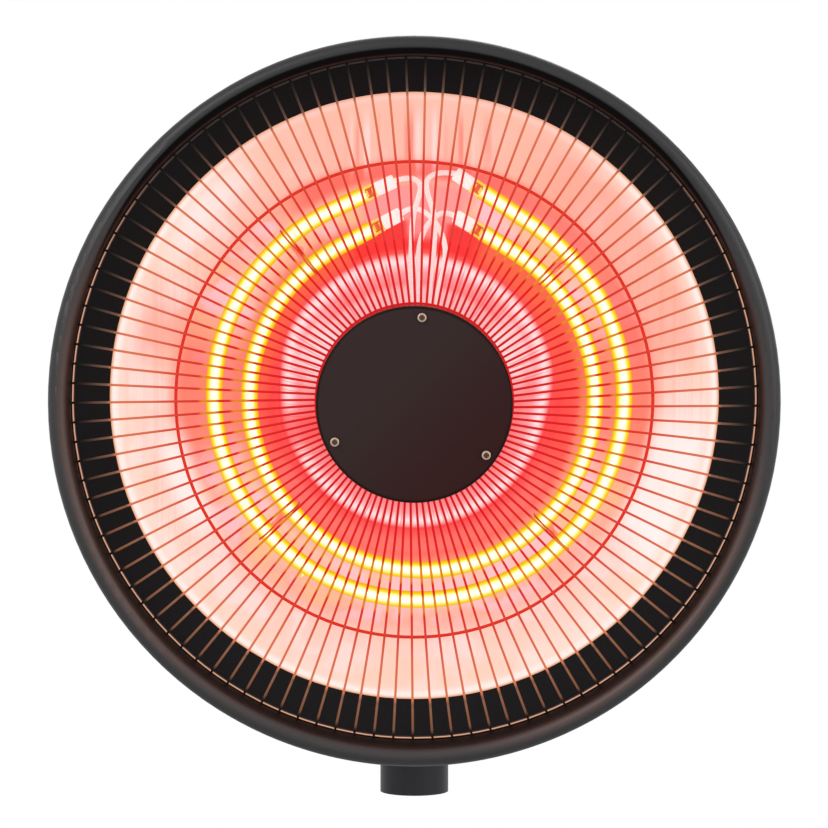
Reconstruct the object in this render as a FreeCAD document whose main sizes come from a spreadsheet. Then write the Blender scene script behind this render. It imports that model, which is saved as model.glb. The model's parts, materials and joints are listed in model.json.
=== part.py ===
import FreeCAD
import Part
import Sketcher
import math
import os

# The head of an infrared patio heater, with its tilt joint and a stub of its round pole.
# World frame: +Z up, the head faces -Y, and the origin is the centre of the pole socket's mouth.
# Head frame: x to the right and y down, as a viewer in front sees it, and depth away from the
# viewer, measured from the face of the centre cover.

# Driving dimensions, in millimetres and degrees.
SIZES = {
    # Pole and knuckle
    "pole_radius": 22.5,
    "pole_wall": 2.0,
    "socket_wall": 1.5,
    "socket_depth": 90.0,
    "axis_height": 275.0,
    "pivot_rise": 40.0,
    "plug_depth": 45.0,
    "plug_clearance": 0.1,
    "knuckle_cap": 6.0,
    "knuckle_screw_radius": 2.0,
    "knuckle_screw_length": 9.0,
    "ear_thickness": 8.0,
    "ear_radius": 17.0,
    "ear_front_foot": 16.0,
    "ear_back_foot": 12.0,
    "ear_foot_rise": 10.0,
    "bridge_front": 8.0,
    "lock_screw_radius": 3.0,
    "lock_boss_radius": 8.0,
    "lock_boss_reach": 9.0,
    "lock_head_radius": 5.8,
    "lock_head_height": 4.0,
    # Tilt pivot
    "pivot_forward": 50.0,
    "pivot_bolt_radius": 4.0,
    "pivot_clearance": 0.06,
    "hole_clearance": 0.1,
    "tongue_thickness": 20.0,
    "tongue_radius": 16.0,
    "tongue_foot": 22.0,
    "friction_washer_radius": 14.0,
    "friction_washer_thickness": 1.5,
    "side_gap": 0.2,
    "pivot_washer_radius": 8.0,
    "pivot_washer_thickness": 1.6,
    "bolt_head_radius": 7.5,
    "bolt_head_height": 5.3,
    "knob_lobe_ring": 16.0,
    "knob_lobe_angle": 30.0,
    "knob_lobe_radius": 6.0,
    "knob_core_radius": 17.5,
    "knob_thickness": 15.0,
    "knob_insert_radius": 7.0,
    "knob_insert_length": 12.0,
    "knob_gap": 0.3,
    # Shroud and baffle ring
    "head_radius": 225.0,
    "rim_roll": 6.0,
    "shroud_sheet": 1.0,
    "bowl_radius": 100.0,
    "lip_setback": 8.7,
    "lip_wall_depth": 46.5,
    "vent_margin": 8.0,
    "vent_length": 24.0,
    "vent_width": 5.0,
    "baffle_drop": 8.0,
    "baffle_sheet": 0.8,
    "baffle_flange": 7.0,
    # Reflector
    "band_width": 23.0,
    "reflector_clearance": 0.3,
    "reflector_sheet": 1.2,
    "reflector_bead": 1.3,
    "reflector_rim": 4.0,
    "dish_depth": 22.0,
    "floor_outer": 100.0,
    "floor_inner": 86.0,
    "hub_rise": 31.0,
    "hub_top_radius": 66.0,
    # Guard and centre cover
    "wire_radius": 0.75,
    "ring_wire_radius": 1.0,
    "guard_slope": 0.1445,
    "guard_setback": 8.9,
    "wire_skew": 2.85,
    "wire_start": 0.3,
    "guard_clearance": 0.2,
    "weld_gap": 0.05,
    "middle_ring_radius": 147.5,
    "cover_radius": 60.4,
    "cover_lap": 0.9,
    "cover_sheet": 1.5,
    "cover_round": 2.5,
    "cover_screw_circle": 53.7,
    "cover_screw_angle": -85.0,
    "hub_plate_sheet": 1.0,
    "nut_radius": 3.4,
    "nut_length": 5.0,
    # Screws
    "screw_radius": 1.75,
    "screw_head_radius": 2.9,
    "screw_head_height": 2.0,
    "screw_length": 9.0,
    # Standoffs, posts and heat shield
    "post_circle": 36.0,
    "post_angle": 90.0,
    "post_radius": 4.5,
    "stud_radius": 2.0,
    "stud_length": 8.0,
    "shield_radius": 105.0,
    "shield_sheet": 1.0,
    "shield_gap": 8.0,
    # Lamps
    "lamp_depth": 46.7,
    "gap_angle": 3.0,
    "outer_ring": 127.2,
    "outer_shift": 3.0,
    "outer_rise": 2.0,
    "outer_left_gap": 28.0,
    "outer_left_straight": 23.1,
    "outer_right_gap": 30.5,
    "outer_right_straight": 38.1,
    "inner_ring": 107.2,
    "inner_shift": 4.9,
    "inner_rise": 0.5,
    "inner_left_gap": 31.0,
    "inner_left_straight": 22.7,
    "inner_right_gap": 28.2,
    "inner_right_straight": 21.7,
    "tube_radius": 5.2,
    "tube_wall": 1.0,
    "filament_radius": 2.6,
    "pinch_length": 6.5,
    "pinch_width": 9.0,
    "pinch_thickness": 4.0,
    "pinch_overlap": 0.5,
    "ceramic_length": 13.0,
    "ceramic_width": 8.6,
    "ceramic_thickness": 7.6,
    "ceramic_round": 1.2,
    # Lamp clips
    "clip_wire": 0.6,
    "clip_gap": 0.45,
    "bracket_width": 4.5,
    "bracket_sheet": 1.2,
    "bracket_post": 2.4,
    "rivet_radius": 1.2,
    "rivet_grip": 6.0,
    # Leads
    "lead_radius": 1.6,
    "lead_row": -51.0,
    "lead_first": -2.5,
    "lead_pitch": 5.5,
    "lead_gap": 0.1,
    "lead_entry": 5.0,
    "lead_setback": 0.85,
    "lead_turn": 9.2,
    "eyelet_radius": 2.2,
    "eyelet_flange": 2.6,
    "eyelet_flange_thickness": 1.0,
    "eyelet_length": 4.0,
    "grommet_margin": 2.2,
    "grommet_flange": 1.5,
    # Rear housing and what it holds
    "housing_radius": 75.0,
    "housing_depth": 40.0,
    "housing_wall": 1.5,
    "housing_round": 10.0,
    "housing_flange": 11.0,
    "housing_screw_angle": 45.0,
    "block_width": 34.0,
    "block_height": 14.0,
    "block_depth": 13.0,
    "block_screw_radius": 1.5,
    "cutout_x": -32.0,
    "cutout_y": 30.0,
    "cutout_radius": 8.0,
    "cutout_height": 9.0,
    "tip_switch_x": 32.0,
    "tip_switch_y": 30.0,
    "tip_switch_side": 16.0,
    "tip_switch_depth": 20.0,
    # Rocker switches
    "switch_spacing": 28.0,
    "switch_row": -47.0,
    "switch_width": 12.8,
    "switch_height": 18.8,
    "switch_depth": 20.0,
    "switch_clearance": 0.1,
    "bezel_margin": 1.1,
    "bezel_thickness": 2.0,
    "rocker_width": 10.0,
    "rocker_reach": 7.6,
    "rocker_foot": 5.5,
    "rocker_drop": 5.0,
    "rocker_crest": 3.2,
    "rocker_waist": 1.9,
    "rocker_pivot": 0.5,
    "rocker_gap": 0.4,
    "rocker_end_gap": 0.9,
    "trunnion_radius": 1.0,
    "trunnion_reach": 0.8,
    "rocker_rest": 10.0,
    # Cable gland
    "gland_depth": 20.0,
    "gland_neck": 7.8,
    "gland_bore": 5.0,
    "gland_hex": 11.0,
    "gland_hex_height": 7.0,
    "gland_thread": 9.0,
    "gland_cap_length": 15.0,
    "gland_cap_wall": 2.6,
    "seal_bore": 3.6,
    "seal_length": 10.0,
    "locknut_height": 4.0,
    # Tilt bracket
    "bracket_reach": 30.0,
    "plate_side": 60.0,
    "plate_thickness": 5.0,
    "plate_bolt_spacing": 44.0,
    "plate_bolt_radius": 2.5,
    "plate_bolt_head": 4.7,
    "plate_bolt_head_height": 2.7,
    "plate_nut_radius": 4.6,
    "plate_nut_height": 4.0,
}
WIRE_COUNT = 109
VENT_COUNT = 24
KNOB_LOBES = 6
HEX = 6
# Directions of the four lamp clips, in degrees from +x towards +y in the head frame.
CLIP_ANGLES = (-43.0, 46.0, 138.0, 230.0)

# Routes of the sleeved leads in the head frame, from the ceramic end towards the eyelets: x, y
# and depth in front of or behind the lamps' plane. The first and last points come from the pieces.
LEAD_ROUTES = {
    "lead_outer_left": ((-3.5, -138.2, 0.0), (4.6, -134.0, 0.0), (2.6, -124.5, 0.0), (-1.2, -114.0, 0.0),
                        (-2.0, -88.0, -0.6), (-2.6, -69.5, -1.6)),
    "lead_inner_right": ((17.5, -118.0, -3.6), (6.0, -106.5, -4.6), (2.2, -92.0, -3.6), (3.2, -69.5, -2.0)),
    "lead_outer_right": ((16.8, -141.2, 0.0), (7.2, -137.2, 0.0), (7.8, -127.5, 0.0), (13.2, -113.5, 0.2),
                         (12.0, -90.0, -0.4), (9.2, -69.5, -1.8)),
    "lead_inner_left": ((-1.5, -120.3, 4.2), (12.0, -112.5, 5.6), (19.6, -97.0, 4.4), (18.8, -82.0, 2.0),
                        (15.0, -69.5, -0.6)),
}

doc = FreeCAD.newDocument("patio_heater_head")
sheet = doc.addObject("Spreadsheet::Sheet", "Sizes")
for row, (alias, number) in enumerate(SIZES.items(), start=1):
    sheet.set(f"A{row}", alias)
    sheet.set(f"B{row}", str(number))
    sheet.setAlias(f"B{row}", alias)
doc.recompute()


class Size:
    """A number worked out from the sheet, with the expression that gives it."""

    def __init__(self, value, text):
        self.value = value
        self.text = text

    def __add__(self, other):
        other = as_size(other)
        return Size(self.value + other.value, f"({self.text} + {other.text})")

    def __sub__(self, other):
        other = as_size(other)
        return Size(self.value - other.value, f"({self.text} - {other.text})")

    def __mul__(self, other):
        other = as_size(other)
        return Size(self.value * other.value, f"({self.text} * {other.text})")

    def __truediv__(self, other):
        other = as_size(other)
        return Size(self.value / other.value, f"({self.text} / {other.text})")

    def __neg__(self):
        return Size(-self.value, f"(0 - {self.text})")


class SizeBook:
    """Reads a size of the sheet by its alias."""

    def __getattr__(self, alias):
        return Size(SIZES[alias], f"Sizes.{alias}")


def as_size(number):
    """Takes a plain number as a size too."""
    return number if isinstance(number, Size) else Size(float(number), f"({float(number)})")


def cosine(angle):
    return Size(math.cos(math.radians(angle.value)), f"cos({angle.text})")


def sine(angle):
    return Size(math.sin(math.radians(angle.value)), f"sin({angle.text})")


def root(size):
    return Size(math.sqrt(size.value), f"sqrt({size.text})")


S = SizeBook()
ZERO = as_size(0)
NO_TURN = FreeCAD.Rotation()
X_AXIS = FreeCAD.Vector(1, 0, 0)
Y_AXIS = FreeCAD.Vector(0, 1, 0)
Z_AXIS = FreeCAD.Vector(0, 0, 1)
ALONG_X = FreeCAD.Rotation(Y_AXIS, 90)
ALONG_Y = FreeCAD.Rotation(X_AXIS, -90)
BACK_TO_FRONT = FreeCAD.Rotation(X_AXIS, 180)
sub_parts = []


# Places that several pieces share

POLE_TOP = S.axis_height - S.pivot_rise
CAP_TOP = POLE_TOP + S.knuckle_cap
PLUG_RADIUS = S.pole_radius - S.pole_wall - S.plug_clearance
EAR_INNER = S.tongue_thickness / 2 + S.side_gap + S.friction_washer_thickness
EAR_OUTER = EAR_INNER + S.ear_thickness
PIVOT_Y = -S.pivot_forward

LIP_CENTRE = S.lip_setback + S.rim_roll
LIP_BORE = S.head_radius - S.rim_roll * 2
LIP_WALL_END = S.lip_setback + S.lip_wall_depth
SHROUD_BACK = LIP_CENTRE + S.bowl_radius
HOUSING_BACK = SHROUD_BACK + S.housing_depth
PIVOT_DEPTH = HOUSING_BACK + S.bracket_reach
HEAD_FRONT = PIVOT_Y - PIVOT_DEPTH

BAFFLE_OUTER = LIP_BORE + S.shroud_sheet
REFLECTOR_RADIUS = LIP_BORE - S.band_width
BAFFLE_INNER = REFLECTOR_RADIUS + S.reflector_clearance
REFLECTOR_RIM = LIP_WALL_END + S.baffle_drop
FLOOR_DEPTH = REFLECTOR_RIM + S.dish_depth
HUB_TOP = FLOOR_DEPTH - S.hub_rise
DISH_RUN = REFLECTOR_RADIUS - S.reflector_rim - S.floor_outer
DISH_RADIUS = (DISH_RUN * DISH_RUN + S.dish_depth * S.dish_depth) / (S.dish_depth * 2)

LEAN = root(S.guard_slope * S.guard_slope + 1)
OUTER_RING_RADIUS = LIP_BORE - S.guard_clearance - S.ring_wire_radius
OUTER_RING_DEPTH = LIP_WALL_END - S.guard_setback
RING_BEHIND = (S.wire_radius + S.ring_wire_radius + S.weld_gap) * LEAN
WIRE_OUTER_DEPTH = OUTER_RING_DEPTH - RING_BEHIND
WIRE_INNER_RADIUS = S.cover_radius - S.cover_lap
INNER_RING_RADIUS = WIRE_INNER_RADIUS + S.ring_wire_radius + S.weld_gap


def wire_depth(radius):
    """Depth of a guard wire's axis at a distance from the head's axis."""
    return WIRE_OUTER_DEPTH - S.guard_slope * (OUTER_RING_RADIUS - radius)


COVER_BACK = wire_depth(S.cover_radius - S.cover_sheet) - S.wire_radius * LEAN - S.weld_gap
HUB_PLATE_FRONT = wire_depth(INNER_RING_RADIUS) + RING_BEHIND + S.ring_wire_radius + S.weld_gap
HUB_PLATE_BACK = HUB_PLATE_FRONT + S.hub_plate_sheet
SHIELD_BACK = SHROUD_BACK - S.shroud_sheet - S.shield_gap
SHIELD_FRONT = SHIELD_BACK - S.shield_sheet
POST_FRONT = HUB_TOP + S.reflector_sheet


# Helpers that make objects of the document

def keep(obj, label):
    """Names a finished sub-part and lists it for export."""
    obj.Label = label
    sub_parts.append(obj)
    return obj


def put(obj, x=ZERO, y=ZERO, z=ZERO, turn=NO_TURN):
    """Places an object, with its position bound to the sheet."""
    obj.Placement = FreeCAD.Placement(FreeCAD.Vector(x.value, y.value, z.value), turn)
    for letter, size in (("x", x), ("y", y), ("z", z)):
        obj.setExpression(f"Placement.Base.{letter}", size.text)
    return obj


def put_on_head(obj, x=ZERO, y=ZERO, depth=ZERO, turn=NO_TURN):
    """Places an object by its head frame coordinates."""
    return put(obj, x, HEAD_FRONT + depth, S.axis_height - y, ALONG_Y.multiply(turn))


def primitive(kind, name, **sizes):
    """A Part primitive whose properties follow the sheet."""
    obj = doc.addObject(kind, name)
    for prop, size in sizes.items():
        obj.setExpression(prop, as_size(size).text)
    return obj


def cylinder(name, radius, length, x=ZERO, y=ZERO, z=ZERO, turn=NO_TURN):
    return put(primitive("Part::Cylinder", name, Radius=radius, Height=length), x, y, z, turn)


def hexagon(name, radius, length, x=ZERO, y=ZERO, z=ZERO, turn=NO_TURN):
    return put(primitive("Part::Prism", name, Polygon=HEX, Circumradius=radius, Height=length), x, y, z, turn)


def block(name, width, height, depth, x=ZERO, y=ZERO, z=ZERO):
    """A box centred on x and y, from z onwards."""
    box = primitive("Part::Box", name, Length=width, Width=height, Height=depth)
    return put(box, x - width / 2, y - height / 2, z)


def fuse(name, pieces):
    obj = doc.addObject("Part::MultiFuse", name)
    obj.Shapes = pieces
    return obj


def cut(name, base, tool):
    obj = doc.addObject("Part::Cut", name)
    obj.Base = base
    obj.Tool = tool
    return obj


def new_body(name):
    return doc.addObject("PartDesign::Body", name)


def new_sketch(body, role, offset=ZERO):
    """A sketch on one of the body's own origin planes, moved along that plane's normal."""
    sketch = body.newObject("Sketcher::SketchObject", f"{body.Name}_sketch")
    plane = [feature for feature in body.Origin.OriginFeatures if feature.Role == role][0]
    sketch.AttachmentSupport = [(plane, "")]
    sketch.MapMode = "FlatFace"
    sketch.AttachmentOffset = FreeCAD.Placement(FreeCAD.Vector(0, 0, offset.value), NO_TURN)
    sketch.setExpression("AttachmentOffset.Base.z", offset.text)
    return sketch


def hold_point(sketch, item, end, x, y):
    """Ties one point of a sketch to the sheet."""
    for kind, axis, size in (("DistanceX", -2, x), ("DistanceY", -1, y)):
        if size.value == 0:
            sketch.addConstraint(Sketcher.Constraint("PointOnObject", item, end, axis))
            continue
        number = sketch.addConstraint(Sketcher.Constraint(kind, -1, 1, item, end, size.value))
        sketch.setExpression(f"Constraints[{number}]", size.text)


def hold_radius(sketch, item, radius):
    number = sketch.addConstraint(Sketcher.Constraint("Radius", item, radius.value))
    sketch.setExpression(f"Constraints[{number}]", radius.text)


def arc_between(start, end, radius, side):
    """The shorter arc of a radius from start to end, turning left for side 1 and right for -1."""
    chord = end - start
    rise = math.sqrt(max(radius ** 2 - (chord.Length / 2) ** 2, 0.0))
    left = FreeCAD.Vector(-chord.y, chord.x, 0).normalize()
    centre = (start + end) * 0.5 + left * (rise * side)
    first, last = (start, end) if side > 0 else (end, start)
    first_angle = math.atan2(first.y - centre.y, first.x - centre.x)
    last_angle = math.atan2(last.y - centre.y, last.x - centre.x)
    return Part.ArcOfCircle(Part.Circle(centre, Z_AXIS, radius), first_angle, last_angle)


def outline(sketch, corners):
    """Draws a closed outline. A corner is x, y and, where an arc starts there, its radius and side."""
    corners = [(as_size(corner[0]), as_size(corner[1])) + tuple(corner[2:]) for corner in corners]
    spots = [FreeCAD.Vector(corner[0].value, corner[1].value, 0) for corner in corners]
    ends = []
    for place, corner in enumerate(corners):
        start, end = spots[place], spots[(place + 1) % len(corners)]
        if len(corner) == 2:
            item = sketch.addGeometry(Part.LineSegment(start, end))
            ends.append((item, 1, 2))
        else:
            radius, side = corner[2:]
            item = sketch.addGeometry(arc_between(start, end, radius.value, side))
            ends.append((item, 1, 2) if side > 0 else (item, 2, 1))
    for place, (item, _, last) in enumerate(ends):
        following, first, _ = ends[(place + 1) % len(ends)]
        sketch.addConstraint(Sketcher.Constraint("Coincident", item, last, following, first))
    for (item, first, _), corner in zip(ends, corners):
        hold_point(sketch, item, first, corner[0], corner[1])
        if len(corner) > 2:
            hold_radius(sketch, item, corner[2])


def circle(sketch, x, y, radius):
    x, y, radius = as_size(x), as_size(y), as_size(radius)
    centre = FreeCAD.Vector(x.value, y.value, 0)
    item = sketch.addGeometry(Part.Circle(centre, Z_AXIS, radius.value))
    hold_point(sketch, item, 3, x, y)
    hold_radius(sketch, item, radius)


def rectangle(sketch, x, y, width, height):
    """A rectangle round a centre."""
    x, y = as_size(x), as_size(y)
    left, right = x - width / 2, x + width / 2
    low, high = y - height / 2, y + height / 2
    outline(sketch, [(left, low), (right, low), (right, high), (left, high)])


def eye_outline(sketch, feet, centre, radius):
    """An outline of straight feet and a round eye, whose two side lines touch the eye."""
    middle = FreeCAD.Vector(centre[0].value, centre[1].value, 0)
    spots = [FreeCAD.Vector(x.value, y.value, 0) for x, y in feet]

    def touch_angle(spot, side):
        way = spot - middle
        return math.atan2(way.y, way.x) + side * math.acos(radius.value / way.Length)

    start_angle, end_angle = touch_angle(spots[-1], 1), touch_angle(spots[0], -1)
    eye = Part.ArcOfCircle(Part.Circle(middle, Z_AXIS, radius.value), start_angle, end_angle)
    feet_lines = [sketch.addGeometry(Part.LineSegment(a, b)) for a, b in zip(spots, spots[1:])]
    rising = sketch.addGeometry(Part.LineSegment(spots[-1], eye.StartPoint))
    arc = sketch.addGeometry(eye)
    falling = sketch.addGeometry(Part.LineSegment(eye.EndPoint, spots[0]))
    chain = feet_lines + [rising]
    for first, following in zip(chain, chain[1:]):
        sketch.addConstraint(Sketcher.Constraint("Coincident", first, 2, following, 1))
    sketch.addConstraint(Sketcher.Constraint("Coincident", falling, 2, chain[0], 1))
    sketch.addConstraint(Sketcher.Constraint("Tangent", rising, 2, arc, 1))
    sketch.addConstraint(Sketcher.Constraint("Tangent", arc, 2, falling, 1))
    for item, foot in zip(chain, feet):
        hold_point(sketch, item, 1, foot[0], foot[1])
    hold_point(sketch, arc, 3, centre[0], centre[1])
    hold_radius(sketch, arc, radius)


def revolve(body, sketch):
    feature = body.newObject("PartDesign::Revolution", f"{body.Name}_turned")
    feature.Profile = sketch
    feature.ReferenceAxis = (sketch, ["V_Axis"])
    feature.Angle = 360
    doc.recompute()
    return feature


def pad(body, sketch, length):
    feature = body.newObject("PartDesign::Pad", f"{body.Name}_pad")
    feature.Profile = sketch
    feature.setExpression("Length", length.text)
    doc.recompute()
    return feature


def pocket(body, sketch, forwards=True, both=False):
    """Cuts a sketch right through the body, along the sketch's normal or against it."""
    before = body.Shape.Volume
    feature = body.newObject("PartDesign::Pocket", f"{body.Name}_pocket")
    feature.Profile = sketch
    feature.Type = "ThroughAll"
    feature.Reversed = forwards
    if both:
        feature.SideType = "Symmetric"
    doc.recompute()
    if not body.Shape.Volume < before:
        raise ValueError(f"{feature.Name} cuts nothing")
    return feature


def group(label, shapes):
    """One sub-part made of several separate solids."""
    obj = doc.addObject("Part::Feature", label)
    obj.Shape = Part.makeCompound(shapes)
    return keep(obj, label)


def moved(shape, x, y, z, turn=NO_TURN):
    """A copy of a shape at a place given by sizes."""
    copy = shape.copy()
    place = FreeCAD.Vector(as_size(x).value, as_size(y).value, as_size(z).value)
    copy.Placement = FreeCAD.Placement(place, turn)
    return copy


def ring_places(radius, first_angle, count):
    """Places evenly spaced on a circle in the head frame, as sizes."""
    step = 360.0 / count
    angles = [first_angle + step * number for number in range(count)]
    return [(radius * cosine(angle), radius * sine(angle)) for angle in angles]


def tube_shape(outer, inner, length):
    """A plain round tube along z."""
    whole = Part.makeCylinder(outer.value, length.value)
    return whole.cut(Part.makeCylinder(inner.value, length.value))


def screw_shape(radius, length, head_radius, head_height):
    """A pan head screw along z: the head below z = 0, the shank above, with a cross recess."""
    head = Part.makeCylinder(head_radius.value, head_height.value, FreeCAD.Vector(0, 0, -head_height.value))
    face_edges = [edge for edge in head.Edges if edge.BoundBox.ZMax < -head_height.value * 0.9]
    head = head.makeFillet(head_height.value * 0.45, face_edges)
    shank = Part.makeCylinder(radius.value, length.value)
    long, short, deep = head_radius.value * 1.1, head_radius.value * 0.25, head_height.value * 0.6
    screw = head.fuse(shank)
    for width, height in ((long, short), (short, long)):
        corner = FreeCAD.Vector(-width / 2, -height / 2, -head_height.value)
        screw = screw.cut(Part.makeBox(width, height, deep, corner))
    return screw.removeSplitter()


COVER_PLACES = ring_places(S.cover_screw_circle, S.cover_screw_angle, 3)
POST_PLACES = ring_places(S.post_circle, S.post_angle, 3)
HOUSING_PLACES = ring_places(S.housing_radius + S.housing_flange / 2, S.housing_screw_angle, 4)
LEAD_PLACES = [(S.lead_first + S.lead_pitch * number, S.lead_row) for number in range(len(LEAD_ROUTES))]
LEAD_MIDDLE = S.lead_first + S.lead_pitch * ((len(LEAD_ROUTES) - 1) / 2)
HALF_BOLTS = S.plate_bolt_spacing / 2
PLATE_PLACES = [(HALF_BOLTS * side, HALF_BOLTS * level) for side in (-1, 1) for level in (-1, 1)]
SLOT_WIDTH = S.lead_pitch * (len(LEAD_ROUTES) - 1) + (S.lead_radius + S.grommet_margin) * 2
SLOT_HEIGHT = (S.lead_radius + S.grommet_margin) * 2


# Pole and knuckle

def make_pole_tube():
    body = new_body("PoleTube")
    profile = new_sketch(body, "XZ_Plane")
    bore, socket = S.pole_radius - S.pole_wall, S.pole_radius - S.socket_wall
    outline(profile, [(socket, ZERO), (S.pole_radius, ZERO), (S.pole_radius, POLE_TOP), (bore, POLE_TOP),
                      (bore, S.socket_depth), (socket, S.socket_depth)])
    revolve(body, profile)
    back = new_sketch(body, "XZ_Plane")
    circle(back, ZERO, S.socket_depth / 2, S.lock_screw_radius + S.hole_clearance)
    pocket(body, back, forwards=False)
    sides = new_sketch(body, "YZ_Plane")
    circle(sides, ZERO, POLE_TOP - S.plug_depth / 2, S.knuckle_screw_radius + S.hole_clearance)
    pocket(body, sides, both=True)
    keep(body, "pole_tube")


def make_pole_lock():
    reach = S.pole_radius + S.lock_boss_reach
    height = S.socket_depth / 2
    boss = cylinder("BossBlank", S.lock_boss_radius, reach, z=height, turn=ALONG_Y)
    pole = cylinder("BossSaddle", S.pole_radius, S.socket_depth)
    hole = cylinder("BossHole", S.lock_screw_radius + S.hole_clearance, reach, z=height, turn=ALONG_Y)
    keep(cut("LockBoss", boss, fuse("BossTools", [pole, hole])), "pole_lock_boss")
    tip = S.pole_radius - S.socket_wall + S.hole_clearance
    shank = cylinder("LockShank", S.lock_screw_radius, reach - tip, y=tip, z=height, turn=ALONG_Y)
    head = hexagon("LockHead", S.lock_head_radius, S.lock_head_height, y=reach, z=height, turn=ALONG_Y)
    keep(fuse("LockScrew", [shank, head]), "pole_lock_screw")


def make_knuckle():
    body = new_body("Knuckle")
    profile = new_sketch(body, "XZ_Plane")
    outline(profile, [(ZERO, POLE_TOP - S.plug_depth), (PLUG_RADIUS, POLE_TOP - S.plug_depth),
                      (PLUG_RADIUS, POLE_TOP), (S.pole_radius, POLE_TOP), (S.pole_radius, CAP_TOP),
                      (ZERO, CAP_TOP)])
    revolve(body, profile)
    front, back, crest = -S.ear_front_foot, S.ear_back_foot, CAP_TOP + S.ear_foot_rise
    feet = [(front, CAP_TOP), (back, CAP_TOP), (back, crest)]
    for inner_face in (EAR_INNER, -EAR_OUTER):
        ear = new_sketch(body, "YZ_Plane", inner_face)
        eye_outline(ear, feet, (PIVOT_Y, S.axis_height), S.ear_radius)
        pad(body, ear, S.ear_thickness)
    bridge = new_sketch(body, "YZ_Plane", -EAR_INNER)
    outline(bridge, [(-S.bridge_front, CAP_TOP), (back, CAP_TOP), (back, crest), (-S.bridge_front, crest)])
    pad(body, bridge, EAR_INNER * 2)
    holes = new_sketch(body, "YZ_Plane")
    circle(holes, PIVOT_Y, S.axis_height, S.pivot_bolt_radius + S.hole_clearance)
    circle(holes, ZERO, POLE_TOP - S.plug_depth / 2, S.knuckle_screw_radius + S.hole_clearance)
    pocket(body, holes, both=True)
    keep(body, "pole_knuckle")
    screw = screw_shape(S.knuckle_screw_radius, S.knuckle_screw_length, S.knuckle_screw_radius * 2,
                        S.knuckle_screw_radius)
    height = POLE_TOP - S.plug_depth / 2
    inwards = FreeCAD.Rotation(Y_AXIS, -90)
    group("knuckle_screws", [moved(screw, S.pole_radius, 0, height, inwards),
                             moved(screw, -S.pole_radius, 0, height, ALONG_X)])


# Tilt pivot

def make_pivot():
    washer_face = EAR_OUTER + S.pivot_washer_thickness
    shank_length = washer_face * 2 + S.knob_gap + S.knob_insert_length
    shank = cylinder("PivotShank", S.pivot_bolt_radius, shank_length, -washer_face, PIVOT_Y, S.axis_height,
                     ALONG_X)
    head = hexagon("PivotHead", S.bolt_head_radius, S.bolt_head_height, -washer_face - S.bolt_head_height,
                   PIVOT_Y, S.axis_height, ALONG_X)
    keep(fuse("PivotBolt", [shank, head]), "pivot_bolt")
    bolt_hole = S.pivot_bolt_radius + S.hole_clearance
    steel = tube_shape(S.pivot_washer_radius, bolt_hole, S.pivot_washer_thickness)
    fibre = tube_shape(S.friction_washer_radius, bolt_hole, S.friction_washer_thickness)
    group("pivot_washers", [moved(steel, start, PIVOT_Y, S.axis_height, ALONG_X)
                            for start in (-washer_face, EAR_OUTER)])
    fibre_faces = (-EAR_INNER, EAR_INNER - S.friction_washer_thickness)
    group("friction_washers", [moved(fibre, start, PIVOT_Y, S.axis_height, ALONG_X) for start in fibre_faces])


def make_knob():
    face = EAR_OUTER + S.pivot_washer_thickness + S.knob_gap
    core = cylinder("KnobCore", S.knob_core_radius, S.knob_thickness)
    lobes = [cylinder(f"KnobLobe{number}", S.knob_lobe_radius, S.knob_thickness, x, y)
             for number, (x, y) in enumerate(ring_places(S.knob_lobe_ring, S.knob_lobe_angle, KNOB_LOBES))]
    pit = cylinder("KnobPit", S.knob_insert_radius, S.knob_insert_length)
    knob = cut("KnobBody", fuse("KnobBlank", [core] + lobes), pit)
    keep(put(knob, face, PIVOT_Y, S.axis_height, ALONG_X), "knob_body")
    blank = cylinder("InsertBlank", S.knob_insert_radius - S.weld_gap, S.knob_insert_length)
    bore = cylinder("InsertBore", S.pivot_bolt_radius + S.pivot_clearance, S.knob_insert_length)
    insert = cut("KnobInsert", blank, bore)
    keep(put(insert, face, PIVOT_Y, S.axis_height, ALONG_X), "knob_insert")


# Shroud, baffle ring and reflector

def make_shroud():
    body = new_body("Shroud")
    profile = new_sketch(body, "XZ_Plane")
    sheet_thickness, roll, bowl = S.shroud_sheet, S.rim_roll, S.bowl_radius
    bead = S.head_radius - roll
    flat = S.head_radius - bowl
    outline(profile, [
        (LIP_BORE, LIP_WALL_END), (LIP_BORE, LIP_CENTRE, roll, 1), (bead, S.lip_setback, roll, 1),
        (S.head_radius, LIP_CENTRE, bowl, 1), (flat, SHROUD_BACK), (ZERO, SHROUD_BACK),
        (ZERO, SHROUD_BACK - sheet_thickness),
        (flat, SHROUD_BACK - sheet_thickness, bowl - sheet_thickness, -1),
        (S.head_radius - sheet_thickness, LIP_CENTRE, roll - sheet_thickness, -1),
        (bead, S.lip_setback + sheet_thickness, roll - sheet_thickness, -1),
        (LIP_BORE + sheet_thickness, LIP_CENTRE), (LIP_BORE + sheet_thickness, LIP_WALL_END)])
    revolve(body, profile)
    holes = new_sketch(body, "XY_Plane")
    rectangle(holes, LEAD_MIDDLE, S.lead_row, SLOT_WIDTH, SLOT_HEIGHT)
    for x, y in POST_PLACES:
        circle(holes, x, y, S.stud_radius + S.hole_clearance)
    for x, y in HOUSING_PLACES:
        circle(holes, x, y, S.screw_radius + S.hole_clearance)
    pocket(body, holes)
    slot = new_sketch(body, "XY_Plane")
    vent_start = S.housing_radius + S.housing_flange + S.vent_margin
    rectangle(slot, vent_start + S.vent_length / 2, ZERO, S.vent_length, S.vent_width)
    vent = pocket(body, slot)
    vents = body.newObject("PartDesign::PolarPattern", "ShroudVents")
    vents.Originals = [vent]
    vents.Axis = (slot, ["N_Axis"])
    vents.Angle = 360
    vents.Occurrences = VENT_COUNT
    body.Tip = vents
    keep(put_on_head(body), "shroud")


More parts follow.
